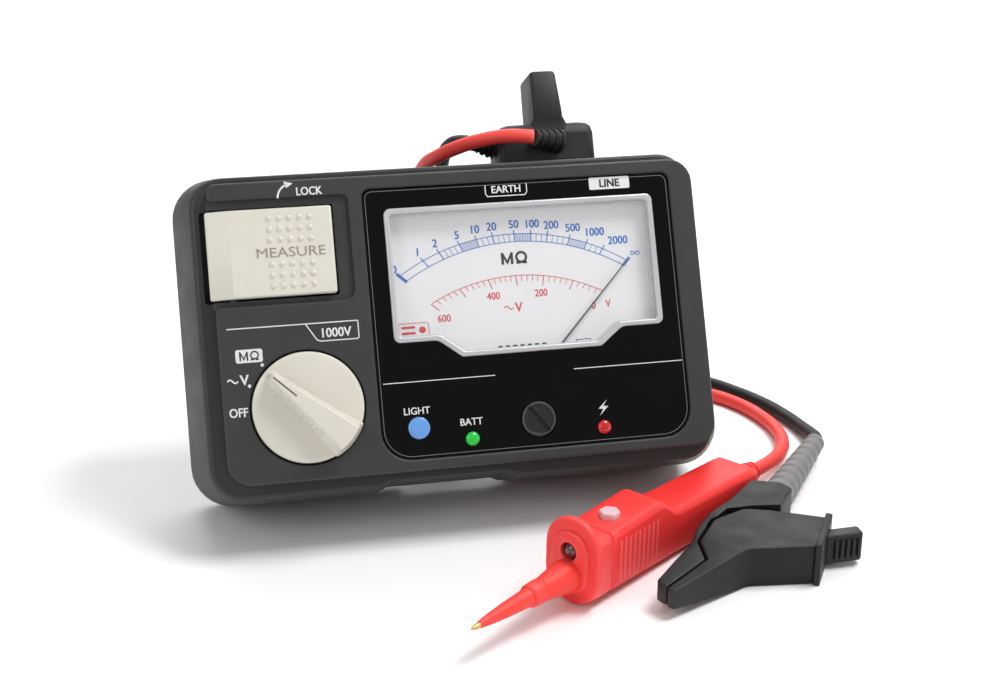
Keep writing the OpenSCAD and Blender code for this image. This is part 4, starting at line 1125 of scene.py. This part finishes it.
def coil_tie():
    """A band around each coil, drawn as a section swept through a few degrees and back through its hole."""
    inner = COIL_RADIUS - CORD_D
    outer = COIL_RADIUS + CORD_D
    top = COIL_ROWS * CORD_D + TIE_T
    section = box(inner - TIE_T, 0, outer + TIE_T, top + TIE_T, 1, 4)
    hole = box(inner, TIE_T, outer, top, 0.5, 4)
    bands = []
    for centre in (RED_COIL, BLACK_COIL):
        rings = []
        for outline, order in ((section, range(9)), (hole, range(8, -1, -1))):
            for k in order:
                turn = math.radians(82 + 2 * k)
                way = Vector((math.cos(turn), math.sin(turn)))
                rings.append([(*(centre + way * r), z) for r, z in outline])
        bands.append(loft(rings, loop=True))
    return merged(bands)


piece("tie_bands", coil_tie(), satin_black, ["coil_ties"], at=TABLE)

# ---- Line probe: x runs from the flange to the tail ----

PROBE_AXIS_Z = 9.3
LAMP_Z = 16.3
BODY_TOP = 20
HUMP_X = 31
HUMP_RISE = 1.5
HANDLE_TOP = 16.4
TAIL_Z = 9
REMOTE_BUTTON_X = 16.5
FLANGE_W = 18.5
BODY_HALF = 7.5
FLANGE_H = 25.5
BODY_FLOOR = 2.2


def slot_ring(x, width, low, high):
    """Upright outline with round ends, across the probe."""
    radius = width / 2
    top = arc((0, high - radius), radius, 0, 180, 16)
    bottom = arc((0, low + radius), radius, 180, 360, 16)
    return [(x, y, z) for y, z in top + bottom]


def body_ring(x, half, low, high, radius=2.2):
    return [(x, y, z) for y, z in box(-half, low, half, high, radius)]


def across_hole(z, diameter, start, length):
    hole = block([circle(0, 0, diameter, 40)], 0, length)
    return moved(hole, start, 0, z, 90, "Y")


def probe_nose():
    flange = loft([slot_ring(x, FLANGE_W - 2 * inset, inset, FLANGE_H - inset) for x, inset in (
        (0, 1.2), (0.25, 0.4), (0.7, 0.06), (1.3, 0), (2.1, 0.15), (2.6, 0.7))])
    boss = loft([slot_ring(x, FLANGE_W - 6 - 2 * inset, 3.5 + inset, FLANGE_H - 3.5 - inset) for x, inset in (
        (1, 0), (-0.7, 0.1), (-1.15, 0.35), (-1.4, 0.9))])
    collar = loft([body_ring(x, BODY_HALF - inset, BODY_FLOOR + inset, BODY_TOP - inset) for x, inset in (
        (2, 0), (7.8, 0), (8.5, 0.15), (8.9, 0.6))])
    holes = [across_hole(PROBE_AXIS_Z, 7, -5, 20), across_hole(LAMP_Z, 5.4, -5, 20)]
    return merged([carved(part, [hole.copy() for hole in holes]) for part in (flange, boss, collar)])


def probe_top(x):
    """Height of the handle's top along the probe: a low hump, then a step down to the grip."""
    peak = BODY_TOP + HUMP_RISE
    if x <= HUMP_X:
        return BODY_TOP + HUMP_RISE * (x - 9) / (HUMP_X - 9)
    if x <= HUMP_X + 9:
        ease = (x - HUMP_X) / 9
        return peak - (peak - HANDLE_TOP) * ease * ease * (3 - 2 * ease)
    return HANDLE_TOP - (x - HUMP_X - 9) / 40


def probe_handle():
    rings = [body_ring(9.05, BODY_HALF - 0.5, BODY_FLOOR + 0.6, BODY_TOP - 0.6),
             body_ring(9.4, BODY_HALF - 0.15, BODY_FLOOR + 0.15, BODY_TOP - 0.15)]
    stations = [10 + 1.5 * k for k in range(46)]
    rings += [body_ring(x, BODY_HALF, BODY_FLOOR, probe_top(x)) for x in stations]
    rings += [body_ring(80, 7.4, BODY_FLOOR + 0.1, 15.3), body_ring(82.4, 6.8, BODY_FLOOR + 0.8, 14),
              body_ring(83.7, 5.7, BODY_FLOOR + 2, 12.9), body_ring(84, 4.8, BODY_FLOOR + 3, 12, 1.8)]
    seat = moved(plate([hexagon(3.4, 3.3, 0.3)], 13.5, 24, bevel=0.05), REMOTE_BUTTON_X)
    shell = carved(loft(rings), [seat])
    ribs = []
    for k in range(9):
        for side in (-1, 1):
            x = 12.55 + 2.1 * k
            bulge = []
            for across, out in arc((0, 0), 1, 0, 180, 6):
                bulge.append((x + 0.5 * across, side * (BODY_HALF - 0.1 + 0.3 * abs(out))))
            ribs.append(loft([[(*point, z) for point in bulge] for z in (4.5, 17)]))
    tail = moved(ribbed_relief(7, 8.4, 6, 3), 83, 0, TAIL_Z, 90, "Y")
    return merged([shell, *ribs, tail])


def hexagon(half_x, half_y, radius):
    corners = [(half_x * x, half_y * y) for x, y in circle(0, 0, 2, 6)]
    return rounded(corners, radius + 0.5, 4)


def probe_button():
    cap = plate([hexagon(3.1, 3.0, 0.3)], BODY_TOP - 4, BODY_TOP + 2.2, bevel=0.5)
    flange = plate([circle(0, 0, 8)], BODY_TOP - 4, BODY_TOP - 2.8, bevel=0.1)
    return moved(merged([cap, flange]), REMOTE_BUTTON_X)


def tip_sleeve():
    profile = [
        (0.75, -6), (3.5, -6), (3.5, -0.5), (4.5, 0.4), (4.65, 1.6), (4.5, 4), (3.9, 8), (3.25, 12),
        (3.15, 12.6), (3.35, 13), (3.4, 13.6), (3.25, 17), (3.0, 17.7), (2.6, 18), (2.5, 19), (2.05, 27),
        (1.5, 33), (1.05, 36.7), (0.9, 37), (0.75, 37),
    ]
    return moved(lathe(profile, 40), 0, 0, PROBE_AXIS_Z, -90, "Y")


def probe_tip():
    return moved(lathe([(0, -8), (0.75, -8), (0.75, 38.2), (0.6, 38.9), (0.3, 39.8), (0, 40)], 24),
                 0, 0, PROBE_AXIS_Z, -90, "Y")


def probe_lamp():
    lens = [(0, 9), (2.3, 9), (2.3, 0)]
    lens += [(2.3 * math.cos(a), -2.3 * math.sin(a)) for a in [math.radians(9 * k) for k in range(1, 11)]]
    return moved(lathe(lens, 32), 0.8, 0, LAMP_Z, 90, "Y")


piece("probe_flange", probe_nose(), coral, ["probe_nose"], at=PROBE)
piece("probe_shell", probe_handle(), coral, ["probe_handle"], at=PROBE)
piece(
    "probe_remote_button", probe_button(), blush, ["probe_button"], at=PROBE,
    body="probe_button_body",
)
piece("probe_sleeve", tip_sleeve(), coral_soft, ["probe_tip_sleeve"], at=PROBE)
piece("probe_pin", probe_tip(), brass, ["probe_tip"], at=PROBE)
piece("probe_lens", probe_lamp(), lamp_violet, ["probe_lamp"], at=PROBE)

# ---- Earth clip: jaws along -x, the pivot at the origin ----

CLIP_T = 12
CHEEK_T = 3
JAW_GAP = 0.3
CLIP_OPENING = 20

FRONT_LEVER = [
    (-37.6, -2.8), (-36.8, -JAW_GAP), (-20, -JAW_GAP), (-14.6, 6.6), (-2, 11.6), (9.5, 9.6), (13.8, 4),
    (22, -10.5), (5.5, -18.5), (-9, -6.2),
]
REAR_LEVER = [
    (-36.8, JAW_GAP), (-36, 4.1), (-15.5, 8.4), (-10, 11.6), (0, 15), (12, 16.2), (26, 19.4), (31, 12),
    (30, 7.2), (15, 2), (5, -4.5), (-4, -4.5), (-9, JAW_GAP),
]
LEVER_SLOT = [(-21, -JAW_GAP), (-14.5, -JAW_GAP), (-8, -6.6), (4, -8), (26, -12), (30, 20), (-21, 20)]
CHEEK_SWEEP = [
    (-21, -JAW_GAP), (-15.3, 7.1), (-2.2, 12.3), (9.9, 10.2), (14.5, 4.4), (22.9, -10.3), (20, -30),
    (-21, -30),
]
TEETH_END = -20.4
JAW_TAPER_X = -12
JAW_TIP_LOW = 3.4


def thin_jaws(mesh):
    """Draws the jaws' height in towards their tips."""
    build = bmesh.new()
    build.from_mesh(mesh)
    everything = build.verts[:] + build.edges[:] + build.faces[:]
    bmesh.ops.bisect_plane(build, geom=everything, plane_co=(JAW_TAPER_X, 0, 0), plane_no=(1, 0, 0))
    for vert in build.verts:
        drop = JAW_TIP_LOW * max(0, JAW_TAPER_X - vert.co.x) / (JAW_TAPER_X + 39)
        vert.co.z = CLIP_T / 2 + (vert.co.z - CLIP_T / 2) * (1 - 2 * drop / CLIP_T)
    build.to_mesh(mesh)
    build.free()
    return mesh


def clip_front_lever():
    outline = rounded(FRONT_LEVER, [1.2, 0.6, 0.2, 2, 5, 4, 3, 0.8, 1.5, 5], 5)
    lever = plate([outline], 0, CLIP_T, bevel=0.6, steps=4)
    gap = block([LEVER_SLOT], CHEEK_T, CLIP_T - CHEEK_T)
    teeth = block([box(-35, -1.5, TEETH_END, 0.6, 0.1)], 1, CLIP_T - 1)
    parts = [thin_jaws(carved(lever, [gap, teeth]))]
    rim = rounded([(22.7, -9.4), (23.5, -11.3), (5.4, -20.2), (4.4, -18.6)], 0.5)
    collar = plate([rim], 0, CLIP_T + 0.8, bevel=0.4)
    parts.append(carved(collar, [block([LEVER_SLOT], CHEEK_T, CLIP_T - CHEEK_T)]))
    grip = plate([rounded([(14.6, -15.6), (24.4, -21.4), (26.8, -17.5), (17.4, -12)], [0.6, 1, 1, 0.6])],
                 1.2, CLIP_T - 1.8, bevel=0.7)
    parts.append(grip)
    for i in range(5):
        bar = plate([box(0, -0.4, 1.0, 0.4, 0.3)], 2.8, CLIP_T - 3.4, bevel=0.2)
        parts.append(moved(moved(bar, 1.3 + 1.75 * i, -0.35), 15.6, -16.2, 0, -31.6))
    return merged(parts)


def clip_rear_lever():
    outline = rounded(REAR_LEVER, [0.6, 1.2, 5, 3, 4, 6, 2, 1.5, 1.5, 3, 2, 2, 0.4], 5)
    lever = plate([outline], 0, CLIP_T, bevel=0.6, steps=4)
    cutters = []
    for step in range(5):
        for low, high in ((-1, CHEEK_T + 0.3), (CLIP_T - CHEEK_T - 0.3, CLIP_T + 1)):
            sweep = block([CHEEK_SWEEP], low, high)
            cutters.append(moved(sweep, turn=CLIP_OPENING / 4 * step))
    cutters.append(block([box(-35, -0.6, TEETH_END, 1.5, 0.1)], 1, CLIP_T - 1))
    cutters.append(block([circle(0, 0, 8.4)], CLIP_T / 2, CLIP_T))
    return thin_jaws(carved(lever, cutters))


piece(
    "clip_jaw_front", clip_front_lever(), rubber_black, ["clip_front_lever"], at=CLIP,
    body="clip_jaw",
)
piece("clip_jaw_rear", clip_rear_lever(), rubber_black, ["clip_rear_lever"], at=CLIP)
RELIEF_START = (28, 12.6, 6)
RELIEF_END = (73, 28.5, 5.5)
piece(
    "clip_sleeve", relief_between(RELIEF_START, RELIEF_END, 10.4, 6.2, 9), rubber_grey,
    ["clip_strain_relief"], at=CLIP,
)

# ---- CAD nodes that keep their shape ----

DRESSED = {
    steel: ["case_screws", "meter_yoke", "meter_core", "key_pin", "key_spring", "battery_cover_screw",
            "battery_contacts", "stand_pin", "clip_pin", "clip_spring", "clip_front_teeth", "clip_rear_teeth",
            "selector_shaft"],
    brass: ["meter_frame", "terminal_sockets", "plug_pins"],
    copper: ["moving_coil"],
    switch_black: ["measure_switch", "rotary_switch", "light_switch", "terminal_block", "probe_switch"],
    board_green: ["display_board", "main_board", "probe_board"],
    core_grey: ["hv_transformer"],
    cell_blue: ["batteries"],
    glass: ["window_lens"],
}
for material, names in DRESSED.items():
    for node_name in names:
        node = frame["nodes"][node_name]
        node.data.materials.clear()
        node.data.materials.append(material)

# ---- Studio ----

FLOOR_T = 0.05
SKY_STRENGTH = 0.4

def area_light(name, at, aim, size, power):
    data = bpy.data.lights.new(name, "AREA")
    data.size = size
    data.energy = power
    light = linked(name, data)
    way = Vector(aim) - Vector(at)
    light.matrix_world = Matrix.Translation(at) @ way.to_track_quat("-Z", "Y").to_matrix().to_4x4()


def make_studio():
    corners = ((-3, -3), (3, -3), (3, 4), (-3, 4))
    floor_mesh = loft([[(x, y, z) for x, y in corners] for z in (-FLOOR_T, 0)])
    paper = finish("floor_paper", (252, 252, 252), rough=0.8, spread=0.004, edge_wear_and_highlight=0, bump=0.02)
    floor_mesh.materials.append(paper)
    floor = linked("floor", floor_mesh)
    world = bpy.data.worlds.new("studio")
    world.use_nodes = True
    sky = world.node_tree.nodes["Background"]
    sky.inputs["Color"].default_value = (1, 1, 1, 1)
    sky.inputs["Strength"].default_value = SKY_STRENGTH
    bpy.context.scene.world = world
    middle = (0, 0, 0.05)
    area_light("top_light", (0.38, -0.05, 0.85), middle, 0.35, 6)
    area_light("side_light", (-0.7, -0.45, 0.55), middle, 0.5, 1.8)
    area_light("fill_light", (0.9, -0.45, 0.25), middle, 0.5, 0.8)
    area_light("backdrop_light", (0.3, 1.9, 1.3), (0.3, 1.7, 0), 2, 40)
    bpy.context.scene.view_settings.view_transform = "Standard"


make_studio()
